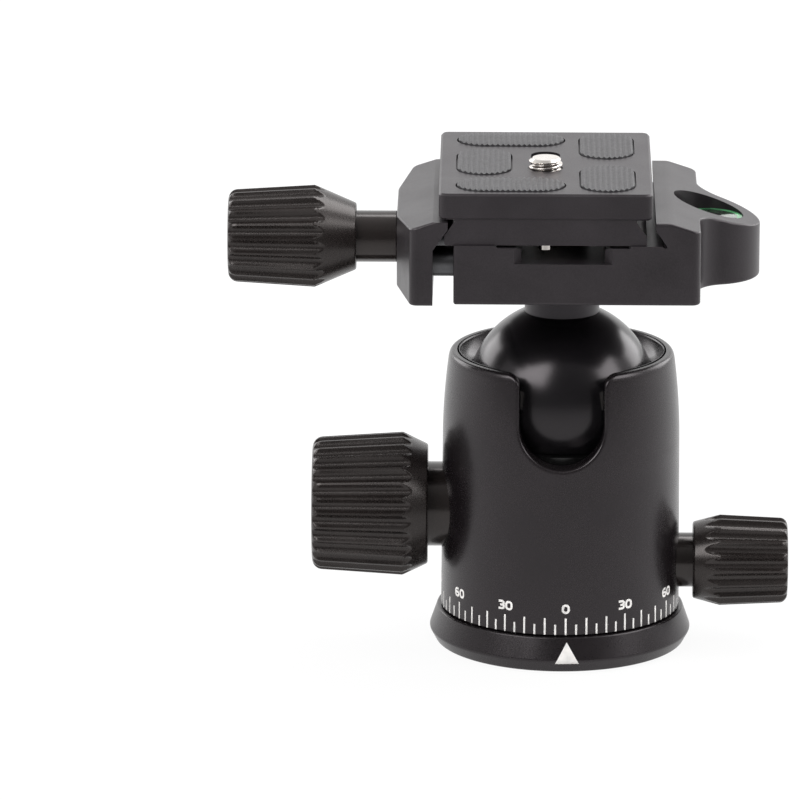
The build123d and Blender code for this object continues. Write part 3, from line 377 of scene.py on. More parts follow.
def laid(points, axis, centre):
    """Turns points drawn along +Z so that they lie along axis, and moves them to the centre."""
    x, y, z = points[..., 0], points[..., 1], points[..., 2]
    if axis == "-X":
        points = np.stack([-z, y, x], -1)
    elif axis == "+X":
        points = np.stack([z, -y, x], -1)
    return points + np.asarray(centre, float)


def block_mesh(low, high):
    """A closed box between two corners, used as a cutter."""
    x, y, z = ((low[i], high[i]) for i in range(3))
    verts = [(i, j, k) for i in x for j in y for k in z]
    faces = [(0, 1, 3, 2), (4, 6, 7, 5), (0, 4, 5, 1), (2, 3, 7, 6), (0, 2, 6, 4), (1, 5, 7, 3)]
    return make_mesh("cutter", verts, faces)


def hole_mesh(bore_r, start, seat_r, seat, end, axis, centre, steps=96):
    """Stepped round cutter along the axis: the bore from its start to the seat, and the seat to the end."""
    corners = [(0, start), (bore_r, start), (bore_r, seat), (seat_r, seat), (seat_r, end), (0, end)]
    return grid_mesh("cutter", laid(turned_grid(np.array(corners), steps), axis, centre))


def cut_with(mesh, cutters):
    """The mesh with closed cutter meshes taken out of it."""
    target = placed("cut_target", mesh)
    made = [target]
    for i, cutter in enumerate(cutters):
        mod = target.modifiers.new(f"cut_{i}", "BOOLEAN")
        mod.operation = "DIFFERENCE"
        mod.solver = "EXACT"
        mod.object = placed(f"cutter_{i}", cutter)
        made.append(mod.object)
    bpy.context.view_layer.update()
    cut = bpy.data.meshes.new_from_object(target.evaluated_get(bpy.context.evaluated_depsgraph_get()))
    for obj in made:
        bpy.data.objects.remove(obj)
    return shaded(cut)


def axis_height(node_name):
    """Height of the middle of a CAD node."""
    low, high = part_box(node_name)
    return (low.z + high.z) / 2


# ---- materials ---------------------------------------------------------------------------------
def node(tree, kind, sockets=(), **options):
    """Adds a shader node and gives back its outputs.

    The sockets come in their order, or by name or number as a dict.  Each takes a value or the output of
    another node.
    """
    made = tree.nodes.new("ShaderNode" + kind)
    for key, value in options.items():
        setattr(made, key, value)
    for key, value in sockets.items() if isinstance(sockets, dict) else enumerate(sockets):
        if isinstance(value, bpy.types.NodeSocket):
            tree.links.new(value, made.inputs[key])
        else:
            made.inputs[key].default_value = value
    return made.outputs


class Look:
    """A material under construction: its principled shader and small helpers for its nodes."""

    noise_low, noise_high = 0.3, 0.7

    def __init__(self, name, colour, rough, metal=0.0, **sockets):
        self.mat = bpy.data.materials.new(name)
        self.mat.use_nodes = True
        self.tree = self.mat.node_tree
        self.inputs = self.tree.nodes["Principled BSDF"].inputs
        values = {"Base Color": (*colour, 1.0), "Roughness": rough, "Metallic": metal, **sockets}
        for key, value in values.items():
            self.inputs[key.replace("_", " ")].default_value = value
        self.coords = node(self.tree, "TexCoord")["Object"]

    def feed(self, socket, value):
        """Joins a node's output to a socket of the shader."""
        self.tree.links.new(value, self.inputs[socket])

    def stretched(self, scale):
        """The object's coordinates, each axis times its own scale."""
        return node(self.tree, "Mapping", {"Vector": self.coords, "Scale": scale})["Vector"]

    def noise(self, scale, detail, vector=None):
        """Noise with the given number of cells to the metre."""
        sockets = {"Vector": vector or self.coords, "Scale": scale, "Detail": detail}
        return node(self.tree, "TexNoise", sockets)["Fac"]

    def both(self, a, b):
        """Mean of two values: 0.5 a + 0.5 b."""
        half = node(self.tree, "Math", (b, 0.5), operation="MULTIPLY")[0]
        return node(self.tree, "Math", (a, 0.5, half), operation="MULTIPLY_ADD")[0]

    def spread(self, value, low, high):
        """The noise's middle range carried over to low and high."""
        return node(self.tree, "MapRange", (value, self.noise_low, self.noise_high, low, high))[0]

    def mottle(self, value, colour, amount):
        """Base colour that swings by a share of itself with a texture value."""
        low, high = ((*(min(1.0, c * k) for c in colour), 1.0) for k in (1 - amount, 1 + amount))
        mix = node(self.tree, "Mix", {0: self.spread(value, 0.0, 1.0), 6: low, 7: high}, data_type="RGBA")
        self.feed("Base Color", mix[2])

    def rough(self, value, low, high):
        """Roughness between low and high with a texture value."""
        self.feed("Roughness", self.spread(value, low, high))

    def bump(self, value, depth, strength):
        """Relief of the given depth with a texture value."""
        sockets = {"Strength": strength, "Distance": depth, "Height": value}
        self.feed("Normal", node(self.tree, "Bump", sockets)["Normal"])


def anodised(name, colour, rough, grain, cast):
    """Bead blasted and anodised aluminium: fine even grain, faint cloudiness in tone and gloss."""
    look = Look(name, colour, rough, Specular_Tint=(*cast, 1.0))
    fine = look.noise(3900.0, 3.0)
    clouded = look.both(fine, look.noise(110.0, 4.0))
    look.mottle(clouded, colour, 0.4)
    look.rough(clouded, rough - 0.06, rough + 0.06)
    look.bump(fine, 8e-6 * grain, 0.8)
    return look.mat


def turned_finish(name, colour, rough, swing, pitch, depth, axis, cast):
    """Lathe turned metal: rings across the turning axis, uneven in height and gloss."""
    look = Look(name, colour, rough, Specular_Tint=(*cast, 1.0))
    scale = [0.0, 0.0, 0.0]
    scale[axis] = 1.0 / pitch
    rings = look.noise(1.0, 4.0, look.stretched(scale))
    look.mottle(look.noise(150.0, 3.0), colour, 0.1)
    look.rough(rings, rough - swing, rough + swing)
    look.bump(rings, depth, 0.5)
    return look.mat


def plated(name, colour, rough):
    """Plated steel: bright, with faint waviness and fine scratches."""
    look = Look(name, colour, rough, 1.0)
    look.mottle(look.noise(400.0, 4.0), colour, 0.06)
    look.rough(look.noise(900.0, 4.0), rough - 0.04, rough + 0.08)
    look.bump(look.noise(2500.0, 3.0), 3e-6, 0.4)
    return look.mat


def moulded(name, colour, rough):
    """Moulded plastic or rubber: soft grain and slight mottling."""
    look = Look(name, colour, rough)
    look.mottle(look.noise(600.0, 3.0), colour, 0.12)
    look.rough(look.noise(1200.0, 3.0), rough - 0.04, rough + 0.05)
    look.bump(look.noise(5000.0, 3.0), 8e-6, 0.5)
    return look.mat


def clear_lens(name):
    """Clear acrylic with the faintest waviness in its gloss."""
    look = Look(name, (0.93, 0.97, 0.94), 0.03, Transmission_Weight=1.0, IOR=1.49)
    look.rough(look.noise(500.0, 2.0), 0.015, 0.05)
    return look.mat


FINISH = {}


def build_finishes():
    """Makes every material once, under the name that pieces and record slots ask for."""
    c = bpy.context.scene.head_finishes
    FINISH.update(
        base_black=anodised("anodised_base", c.satin, 0.28, 0.25, c.cast),
        housing_black=anodised("anodised_housing", c.satin, 0.26, 0.22, c.cast),
        clamp_black=anodised("anodised_clamp", c.clamp, 0.36, 2.4, c.cast),
        knob_black=anodised("anodised_knob", c.knob, 0.27, 0.4, c.warm_cast),
        plate_black=anodised("anodised_plate", c.plate, 0.40, 3.0, c.cast),
        ball_black=turned_finish("turned_ball", c.ball, 0.24, 0.015, 0.00012, 6e-8, 2, c.cast),
        collar_grey=turned_finish("turned_collar", c.collar, 0.34, 0.04, 0.00012, 2e-6, 2, c.cast),
        knob_collar=turned_finish(
            "turned_knob_collar", c.knob, 0.17, 0.03, 0.00030, 1.2e-6, 0, c.warm_cast
        ),
        pad_rubber=moulded("pad_rubber", c.rubber, 0.45),
        seat_black=moulded("seat_black", c.seat, 0.2),
        steel_bright=plated("bright_steel", c.steel, 0.14),
        steel_dark=plated("dark_steel", c.dark_steel, 0.34),
        brass=plated("machined_brass", c.brass, 0.28),
        nylon=moulded("natural_nylon", c.nylon, 0.5),
        level_cup=moulded("level_cup", c.seat, 0.3),
        level_ring=moulded("level_ring", c.ring, 0.35),
        level_fluid=moulded("level_fluid", c.fluid, 0.12),
        level_glass=clear_lens("level_lens"),
        mark=moulded("laser_white", c.mark, 0.6),
    )


# ---- housing, base and scale -------------------------------------------------------------------
def lengths(path):
    """Distance along a path to each of its points."""
    return np.concatenate([[0.0], np.cumsum(np.linalg.norm(np.diff(path, axis=0), axis=1))])


def bow(a, control, b, count):
    """Quadratic curve: (1-t)^2 a + 2t(1-t) control + t^2 b."""
    t = np.linspace(0, 1, count)[:, None]
    return (1 - t) ** 2 * np.array(a) + 2 * t * (1 - t) * np.array(control) + t**2 * np.array(b)


def straight(a, b, count):
    """Even steps from a to b: a + t (b - a)."""
    return np.array(a) + (np.array(b) - np.array(a)) * np.linspace(0, 1, count)[:, None]


class NotchStrip:
    """One side of the notched wall, drawn along a turned profile.

    Every row is a level line of the profile.  It starts where the notch outline crosses that level and
    runs evenly to the back.  The outline is half wide, has a round bottom, and flares out in a quarter
    circle where it meets the crest: x = half + corner - sqrt(corner^2 - (z - crest + corner)^2).
    """

    back = np.linspace(0, 1, 150)[1:]
    arc = np.linspace(0, math.pi / 2, 22)
    side = 1 - (1 - np.linspace(0, 1, 34)[1:]) ** 1.6
    low, high = 0.10, 0.22
    column = np.concatenate([arc / arc[-1] * low, low + side * (high - low), high + back * (1 - high)])
    hair, least = 1e-12, 1e-9

    def __init__(self, s, top):
        self.s, self.top = s, top

    def edge(self, path, half):
        """Length along the path at which each column meets the outline."""
        along = lengths(path)
        rising = path[-1, 1] > path[0, 1]
        z = path[:, 1] if rising else path[::-1, 1]
        length = along if rising else along[::-1]
        at_centre = np.interp(self.s.notch_z, z, length)
        crest = along[-1] if rising else 0.0
        low_part = np.interp(self.s.notch_z - half * np.cos(self.arc), z, length)
        sides = at_centre + self.side * (crest - at_centre)
        return np.concatenate([low_part, sides, np.full(len(self.back), crest)])

    def points(self, path, rows, half, from_top):
        """Points at the given lengths of the path, for a notch of the given half width."""
        along = lengths(path)
        edge = self.edge(path, half)
        limit = np.maximum if from_top else np.minimum
        t = limit(rows[:, None], edge[None, :])
        r, z = np.interp(t, along, path[:, 0]), np.interp(t, along, path[:, 1])
        centre, corner = self.s.notch_z, self.s.notch_corner
        drop = np.clip(centre - z, 0, half)
        x = np.where(z < centre - half, 0.0, np.sqrt(np.maximum(half**2 - drop**2, 0)))
        into = np.clip(z - self.top + corner, 0, corner)
        x = x + corner - np.sqrt(np.maximum(corner**2 - into**2, 0))
        start = np.arcsin(np.clip(x / r, -1, 1))
        order = np.argsort(edge)
        begins = np.interp(t, edge[order], self.column[order])
        reached = t >= edge.max() - self.hair if from_top else t <= edge.min() + self.hair
        begins = np.where(reached, 0.0, begins)
        reach = (self.column[None, :] - begins) / np.maximum(1.0 - begins, self.least)
        turn = start + np.clip(reach, 0, 1) * (math.pi - start)
        return np.stack([r * np.sin(turn), -r * np.cos(turn), z], -1)


def housing_grid(s):
    """Turned wall with a U notch, as closed sections up the outside, over the edge and down inside."""
    low, top = (corner.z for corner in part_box("housing"))
    slope = (s.waist_r - s.bottom_r) / (s.waist_z - low)
    rise = s.shoulder_z - s.waist_z
    bend = (s.shoulder_r - s.waist_r - slope * rise) / rise**2
    up = np.linspace(0, rise, 22)[1:]
    shoulder = np.stack([s.waist_r + slope * up + bend * up**2, s.waist_z + up], -1)
    lean = (slope + 2 * bend * rise) * (top - s.shoulder_z)
    soft, tip = 0.2 * MM, 0.15 * MM
    outside = np.vstack([
        bow((s.bottom_r - soft, low), (s.bottom_r, low), (s.bottom_r, low + soft), 4),
        straight((s.bottom_r, low + 2 * soft), (s.waist_r, s.waist_z), 26),
        shoulder,
        bow(shoulder[-1], (s.shoulder_r + lean, top), (s.crest_r, top), 12)[1:],
    ])
    e, lip = s.bowl_edge, s.lip_z + s.lip_h
    bowl = (s.lip_r + 0.7 * (s.bowl_r - s.lip_r), lip + 0.9 * MM)
    inside = np.vstack([
        bow((s.bowl_r + e, top), (s.bowl_r, top), (s.bowl_r, top - e), 6),
        bow((s.bowl_r, top - e), bowl, (s.lip_r + tip, lip), 15)[1:],
        bow((s.lip_r + tip, lip), (s.lip_r, lip), (s.lip_r, lip - tip), 4)[1:],
        straight((s.lip_r, lip - 2 * tip), (s.lip_r, s.lip_z), 3),
        straight((s.lip_r + tip, s.lip_z), (s.bore_r, s.lip_z), 5),
        straight((s.bore_r, s.lip_z - tip), (s.bore_r, low), 40),
    ])
    strip = NotchStrip(s, top)
    outer = strip.points(outside, lengths(outside), s.notch_half + s.notch_edge, False)
    corner = strip.points(outside, lengths(outside)[-1:], s.notch_half, False)
    inset = outside - np.array([s.notch_edge, 0.0])
    middle = strip.points(inset, lengths(inset)[-1:], s.notch_half, False)
    inner = strip.points(inside, lengths(inside), s.notch_half, True)
    t = np.linspace(0, 1, 7)[1:-1, None, None]
    edge = (1 - t) ** 2 * outer[-1:] + 2 * t * (1 - t) * corner + t**2 * middle
    wall = middle + (inner[:1] - middle) * np.linspace(0, 1, 5)[:-1, None, None]
    half_grid = np.concatenate([outer, edge, wall, inner])
    mirror = half_grid[:, -2:0:-1] * np.array([-1.0, 1.0, 1.0])
    return np.concatenate([half_grid, mirror], axis=1)


class HEAD_OT_housing(Operator):
    """Turned housing wall with its drop notch, rim, bowl and the two knob seats"""

    bl_idname = "head.housing"
    bl_label = "Housing"

    inward, outward = 4 * MM, 8 * MM

    def execute(self, context):
        scene = context.scene
        s = scene.head_housing
        mesh = grid_mesh("housing_wall", housing_grid(s), True)
        cutters = [
            self.seat(s, "lock", scene.head_lock_knob, s.lock_seat_x, "-X"),
            self.seat(s, "pan", scene.head_pan_knob, s.pan_seat_x, "+X"),
        ]
        mesh = cut_with(mesh, cutters)
        add_piece("housing_wall", mesh, "housing", "housing_black", replaces=("housing",))
        return {"FINISHED"}

    def seat(self, s, name, knob, floor, axis):
        """Bore for the threaded insert, and the counterbore for the knob's collar."""
        low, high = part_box(f"{name}_insert")
        bore = (high.z - low.z) / 2 + CLEARANCE
        start, end = s.bore_r - self.inward, s.bottom_r + self.outward
        centre = (0, 0, axis_height(f"{name}_screw"))
        return hole_mesh(bore, start, knob.collar_r + s.seat_gap, floor, end, axis, centre)


class HEAD_OT_base(Operator):
    """Coned base with its rounded rim, bearing ring and socket"""

    bl_idname = "head.base"
    bl_label = "Base"

    # Corners in millimetres as (radius, height, rounding), from the bushing's seat out over the underside,
    # and from the cone's top up round the spindle and down through the tripod socket.
    underside = (
        (4.79, 1.3, 0), (6.38, 1.3, 0.05), (6.38, 0, 0.2), (9.5, 0, 0.3), (10, 0.5, 0.2), (20, 0.5, 0.2),
        (20.5, 0, 0.2),
    )
    spindle = (
        (15, 6.7, 0.2), (15, 12.2, 0.1), (14, 13.2, 0.1), (14, 17.6, 0.1), (15, 18.6, 0.1), (15, 20.2, 0),
        (14.1, 20.2, 0), (14.1, 21.2, 0), (15, 21.2, 0), (15, 22, 0.3), (6, 22, 0.2), (6, 10.7, 0.2),
        (0, 10.7, 0), (0, 9.6, 0), (4.79, 9.6, 0), (4.79, 1.3, 0),
    )

    def execute(self, context):
        s = context.scene.head_base
        rim = [(s.foot_r, 0, 0.7 * MM), (s.rim_r, s.rim_z, RIM_ROUND), (s.top_r, s.top_z, 0.35 * MM)]
        corners = np.vstack([np.array(self.underside) * MM, rim, np.array(self.spindle) * MM])
        add_turned("base_body", corners, "base", "base_black", steps=220, replaces=("base_plate",))
        return {"FINISHED"}


FIGURE_STROKES = {
    "0": [(True, [(0, 0), (1, 0), (1, 1), (0, 1)])],
    "1": [(False, [(0.15, 0.8), (0.6, 1), (0.6, 0)])],
    "2": [(False, [(0, 0.8), (0, 1), (1, 1), (1, 0.5), (0, 0.42), (0, 0), (1, 0)])],
    "3": [(False, [(0, 1), (1, 1), (1, 0.5), (0.3, 0.5)]), (False, [(1, 0.5), (1, 0), (0, 0)])],
    "5": [(False, [(1, 1), (0, 1), (0, 0.55), (1, 0.55), (1, 0), (0, 0)])],
    "6": [(False, [(0.95, 1), (0, 1), (0, 0), (1, 0), (1, 0.53), (0.1, 0.53)])],
    "8": [(True, [(0, 0), (1, 0), (1, 0.5), (0, 0.5)]), (True, [(0, 0.5), (1, 0.5), (1, 1), (0, 1)])],
    "9": [(False, [(0.05, 0), (1, 0), (1, 1), (0, 1), (0, 0.47), (0.9, 0.47)])],
}
MARK_PROUD = 0.012 * MM
FIGURE_WIDE, FIGURE_GAP, FIGURE_ROUND = 0.60, 1.2, 0.27


def ribbon(path, width, closed):
    """Thin strip along a path in x and z, half the width to both sides, open ones closed to a point."""
    ahead, behind = np.roll(path, -1, axis=0), np.roll(path, 1, axis=0)
    if not closed:
        ahead[-1], behind[0] = path[-1], path[0]
    along = ahead - behind
    along /= np.linalg.norm(along, axis=1)[:, None]
    side = np.stack([-along[:, 1], along[:, 0]], -1) * width / 2
    rows = []
    for across, y in ((side, -MARK_PROUD), (side, MARK_PROUD), (-side, MARK_PROUD), (-side, -MARK_PROUD)):
        x, z = (path + across).T
        rows.append(np.stack([x, np.full(len(path), y), z], -1))
    grid = np.stack(rows, 1)
    return np.concatenate([grid, grid[:1]]) if closed else capped(grid)


def figure_strokes(text, height, stroke):
    """Strips of a number in squarish figures, centred on x = 0 with its foot on z = 0."""
    wide, tall, gap = FIGURE_WIDE * height, height - stroke, FIGURE_GAP * stroke
    step = wide + gap
    start = -(step * len(text) - gap) / 2
    strips = []
    for place, char in enumerate(text):
        left = start + place * step
        for closed, corners in FIGURE_STROKES[char]:
            soft = [(left + x * wide, stroke / 2 + z * tall, FIGURE_ROUND * height) for x, z in corners]
            strips.append(ribbon(soft_corners(soft, closed, 5), stroke, closed))
    return strips


def wrapped(grid, profile, turn):
    """Bends a grid drawn in x and z round the Z axis: x becomes an arc on the profile, y the proudness."""
    x, y, z = np.moveaxis(grid, -1, 0)
    radius = np.interp(z, profile[:, 1], profile[:, 0])
    a, r = x / radius + turn, radius - y
    return np.stack([r * np.sin(a), -r * np.cos(a), z], -1)


class HEAD_OT_scale(Operator):
    """White angle marks and figures round the housing's foot, and the index mark on the base"""

    bl_idname = "head.scale"
    bl_label = "Angle scale"

    def execute(self, context):
        s, h = context.scene.head_scale, context.scene.head_housing
        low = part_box("housing")[0].z
        wall = np.array([(h.bottom_r, low), (h.waist_r, h.waist_z)])
        grids = []
        for turn in range(0, 360, 5):
            tall = s.short_tick if turn % 10 else s.long_tick
            tick = ribbon(np.array([(0, low + 0.15 * MM), (0, low + tall)]), s.tick_width, False)
            grids.append(wrapped(tick, wall, math.radians(s.zero + turn)))
        above = np.array([0, 0, low + s.long_tick + s.lift])
        for number in range(0, 181, 30):
            for sign in (-1, 1) if number not in (0, 180) else (1,):
                for strip in figure_strokes(str(number), s.digit, s.stroke):
                    grids.append(wrapped(strip + above, wall, math.radians(s.zero + sign * number)))
        mesh = make_mesh("angle_scale", *join_grids(grids))
        add_piece("angle_scale", mesh, "housing", "nylon", "mark", weighted=False)
        self.index_mark(context.scene.head_base)
        return {"FINISHED"}

    def index_mark(self, s):
        """Filled triangle laid round the base's edge, from its foot to its tip on the cone."""
        z = np.linspace(s.mark_low, s.mark_top, 25)[:, None]
        cols = np.linspace(-1, 1, 13)[None, :]
        rim = [(s.foot_r, 0, 0), (s.rim_r, s.rim_z, RIM_ROUND), (s.top_r, s.top_z, 0)]
        x = s.mark_half * (s.mark_top - z) / (s.mark_top - s.mark_low) * cols
        flat = np.stack([x, 0 * x, z + 0 * x], -1)
        proud = np.array([0, 2 * MARK_PROUD, 0])
        sheet = np.concatenate([flat - proud, (flat + proud)[:, ::-1]], axis=1)
        grid = wrapped(sheet, soft_corners(rim, steps=8), math.radians(s.mark_turn))
        foot = grid[:1].mean(axis=1, keepdims=True).repeat(grid.shape[1], axis=1)
        mesh = grid_mesh("index_mark", np.concatenate([foot, grid]))
        add_piece("index_mark", mesh, "base", "nylon", "mark", weighted=False)


# ---- ball and neck -----------------------------------------------------------------------------
class HEAD_OT_ball(Operator):
    """Ball with its flat for the neck, and the turned neck collar"""

    bl_idname = "head.ball"
    bl_label = "Ball and neck"

    def execute(self, context):
        s = context.scene.head_neck
        low, top = (corner.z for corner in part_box("neck_collar"))
        seat_r = s.neck_r + CLEARANCE
        a = np.linspace(math.acos(seat_r / s.ball_r), -math.pi / 2, 140)
        shell = np.stack([s.ball_r * np.cos(a), s.ball_z + s.ball_r * np.sin(a)], -1)
        shell[-1, 0] = 0.0
        mesh = grid_mesh("ball_surface", turned_grid(np.vstack([[(0, low), (seat_r, low)], shell]), 240))
        add_piece("ball_surface", mesh, "head", "ball_black", replaces=("ball",))
        corners = ring_corners(s.bore_r, s.neck_r, low, top, 0.2 * MM, 0.3 * MM)
        add_turned("neck_turned", corners, "head", "collar_grey", steps=120, replaces=("neck_collar",))
        return {"FINISHED"}


# ---- knobs -------------------------------------------------------------------------------------
def knob_grid(path, line, flutes, share, depth, per_flute=14):
    """Fluted knob along +Z.

    The radius is the smaller of the turned blank and the grooved grip.  The grip is a straight taper,
    carried on over the cone, less a round groove of the flute, so the grooves run out on the cone.
    """
    (r0, h0), (r1, h1) = line
    pitch = TURN / flutes
    width = share * TURN * r0 / flutes
    drop = depth * width
    cutter = (width**2 / 4 + drop**2) / (2 * drop)
    a = np.arange(flutes * per_flute) / per_flute * pitch
    phase = (a / pitch + 0.5) % 1.0 - 0.5
    r, h = path[:, :1], path[:, 1:2]
    taper = r0 + (r1 - r0) * (h - h0) / (h1 - h0)
    groove = np.sqrt(np.maximum(cutter**2 - (phase * pitch * taper) ** 2, 0)) - (cutter - drop)
    radius = np.minimum(r, taper - np.maximum(groove, 0))
    radius[r[:, 0] <= DROP_BELOW] = 0.0
    return around(radius, a, h)


def dense(path, step):
    """The same path with points at most a step apart."""
    along = lengths(path)
    keep = [path[:1]]
    for a, b, la, lb in zip(path[:-1], path[1:], along[:-1], along[1:]):
        n = max(1, math.ceil((lb - la) / step))
        keep.append(a + (b - a) * (np.arange(1, n + 1) / n)[:, None])
    return np.vstack(keep)


class HEAD_OT_knobs(Operator):
    """The three fluted knobs with their collars and sleeve"""

    bl_idname = "head.knobs"
    bl_label = "Knobs"

    screw_bore = 2.95 * MM
    collar_in = 0.5 * MM
    steps = {"back": 0.6 * MM, "side": 0.22 * MM, "end": 0.25 * MM}

    def execute(self, context):
        scene = context.scene
        self.knob("lock", scene.head_lock_knob, "-X", "lock_knob", "lock_knob")
        self.knob("pan", scene.head_pan_knob, "+X", "pan_knob", "pan_knob")
        self.knob("clamp", scene.head_clamp_knob, "-X", "clamp_knob", "clamp_sleeve")
        return {"FINISHED"}

    def knob(self, name, k, axis, body, collar_node):
        """Grip with its cone, and the plain collar between it and its seat."""
        centre = (0, 0, axis_height(f"{name}_screw"))
        end, crest = k.back + k.length, k.back + k.cone
        corners = [
            (0, k.back, 0), (k.back_r, k.back, 0.5 * MM), (k.max_r, crest, 0.7 * MM),
            (k.end_r, end, k.end_round), (0, end, 0),
        ]
        path = soft_corners(corners, steps=10)
        path = np.vstack([
            dense(path[:2], self.steps["back"])[:-1],
            dense(path[1:-1], self.steps["side"]),
            dense(path[-2:], self.steps["end"])[1:],
        ])
        f = bpy.context.scene.head_flutes
        grid = knob_grid(path, ((k.max_r, crest), (k.end_r, end)), k.flutes, f.share, f.depth)
        mesh = grid_mesh(f"{name}_grip", laid(grid, axis, centre))
        add_piece(f"{name}_grip", mesh, body, "knob_black", replaces=(f"{name}_knob",))
        corners = ring_corners(
            self.screw_bore, k.collar_r, k.collar, k.back + self.collar_in, 0.3 * MM, 0.1 * MM
        )
        add_turned(
            f"{name}_collar", corners, body, "knob_black", "knob_collar", 120, axis, centre, (collar_node,)
        )


# ---- plate -------------------------------------------------------------------------------------
class HEAD_OT_pads(Operator):
    """Ribbed rubber pads set into the plate"""

    bl_idname = "head.pads"
    bl_label = "Rubber pads"

    def execute(self, context):
        s = context.scene.head_pads
        low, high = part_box("rubber_pads")
        left, right, front = low.x + s.long / 2, high.x - s.wide / 2, low.y
        places = [
            (left, front + s.wide / 2, s.long, s.wide),
            (left, -front - s.wide / 2, s.long, s.wide),
            (low.x + s.wide / 2, 0.0, s.wide, s.long),
            (right, front + s.long / 2, s.wide, s.long),
            (right, -front - s.long / 2, s.wide, s.long),
        ]
        mesh = make_mesh("ribbed_pads", *join_grids([self.pad(s, *p, low.z, high.z) for p in places]))
        add_piece("ribbed_pads", mesh, "plate", "pad_rubber", replaces=("rubber_pads",))
        return {"FINISHED"}

    def pad(self, s, cx, cy, sx, sy, low, high):
        """Stadium outline with wavy ribs: the top falls by half the relief * (1 - cos) of the rib phase."""
        ribs = round(sx / s.pitch)
        sx, sy = sx - 2 * s.gap, sy - 2 * s.gap
        x = np.linspace(-1, 1, ribs * 8 + 1) * sx / 2 * 0.9995
        r = min(sx, sy) / 2
        over = np.maximum(np.abs(x) - max(sx / 2 - r, 0), 0)
        h = max(sy / 2 - r, 0) + np.sqrt(np.maximum(r**2 - over**2, 0))
        top = high - s.relief / 2 * (1 - np.cos(TURN * ribs * (x / sx + 0.5) + math.pi))
        c, flat = s.edge, 0 * x
        inner = np.maximum(h - 1.4 * c, 0.0)
        half = [
            (flat, top), (inner / 2, top), (inner, top), (h - 0.3 * c, top - 0.3 * c), (h, top - c),
            (h, flat + low),
        ]
        section = [(-y, z) for y, z in half[:0:-1]] + half
        return capped(np.stack([np.stack([cx + x, cy + y, z], -1) for y, z in section], axis=1))


def thread_radius(angle, z, s):
    """Screw thread: a rounded triangle wave that climbs one pitch a turn, with a flat crest and root."""
    crest = 0.12
    wave = np.abs(((z + s.lead) / s.pitch - angle / TURN) % 1.0 * 2 - 1)
    ramp = np.clip((wave - crest) / (1 - 2 * crest), 0, 1)
    return s.outer_r - s.depth * ramp * ramp * (3 - 2 * ramp)


class HEAD_OT_screw(Operator):
    """Camera screw with its real thread"""

    bl_idname = "head.screw"
    bl_label = "Camera screw"

    steps = 96
    tip_slope, shank_slope = 1.1, 1.5

    def execute(self, context):
        s = context.scene.head_screw
        low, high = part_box("camera_screw")
        centre = np.array([(low.x + high.x) / 2, (low.y + high.y) / 2, 0.0])
        start = high.z - s.thread
        a = np.linspace(0, TURN, self.steps, endpoint=False)
        z = np.linspace(start, high.z, 120)[:, None]
        r = np.minimum(thread_radius(a[None, :], z, s), s.tip_r + (high.z - z) * self.tip_slope)
        r = np.minimum(r, s.shank_r + (z - start) * self.shank_slope)
        head, soft = low.z + s.head_h, 0.35 * MM
        corners = [
            (0, low.z, 0), (s.head_r, low.z, soft), (s.head_r, head, soft), (s.shank_r, head, soft / 4),
            (s.shank_r, start, 0),
        ]
        foot = turned_grid(soft_corners(corners), self.steps)
        tip = turned_grid(np.array([(k * s.tip_r, high.z) for k in (0.93, 0.8, 0.4, 0.0)]), self.steps)
        mesh = grid_mesh("camera_thread", np.concatenate([foot, around(r, a, z)[1:], tip]) + centre)
        reach = np.array([2 * s.head_r, s.coin_w / 2, 0.0])
        coin = block_mesh(centre - reach + [0, 0, low.z - MM], centre + reach + [0, 0, low.z + s.coin_d])
        mesh = cut_with(mesh, [coin])
        add_piece("camera_thread", mesh, "camera_screw", "steel_bright", replaces=("camera_screw",))
        return {"FINISHED"}


class HEAD_OT_springs(Operator):
    """Coil springs that push the jaw open, shortened by the guide pins as the jaw closes"""

    bl_idname = "head.springs"
    bl_label = "Jaw springs"

    def execute(self, context):
        s = context.scene.head_springs
        low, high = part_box("jaw_springs")
        reach = s.coil_r + s.wire_r
        middle = high.y - reach
        grids = [self.coil(s, low.x, high.x, y, high.z - reach) for y in (middle, -middle)]
        mesh = make_mesh("closing_springs", *join_grids(grids))
        obj = add_piece(
            "closing_springs", mesh, "head", "steel_dark", replaces=("jaw_springs",), weighted=False
        )
        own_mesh(obj)
        return {"FINISHED"}

    def coil(self, s, start, end, y, z):
        """Round wire swept along a helix on the X axis: a circle of the wire's radius across the turns."""
        t = np.linspace(0, 1, s.turns * 40 + 1)[:, None]
        turn = TURN * s.turns * t
        a = np.linspace(0, TURN, 12, endpoint=False)[None, :]
        radius = s.coil_r + s.wire_r * np.cos(a)
        along = start + s.wire_r + (end - start - 2 * s.wire_r) * t + s.wire_r * np.sin(a)
        return capped(np.stack([along, y + radius * np.cos(turn), z + radius * np.sin(turn)], -1))


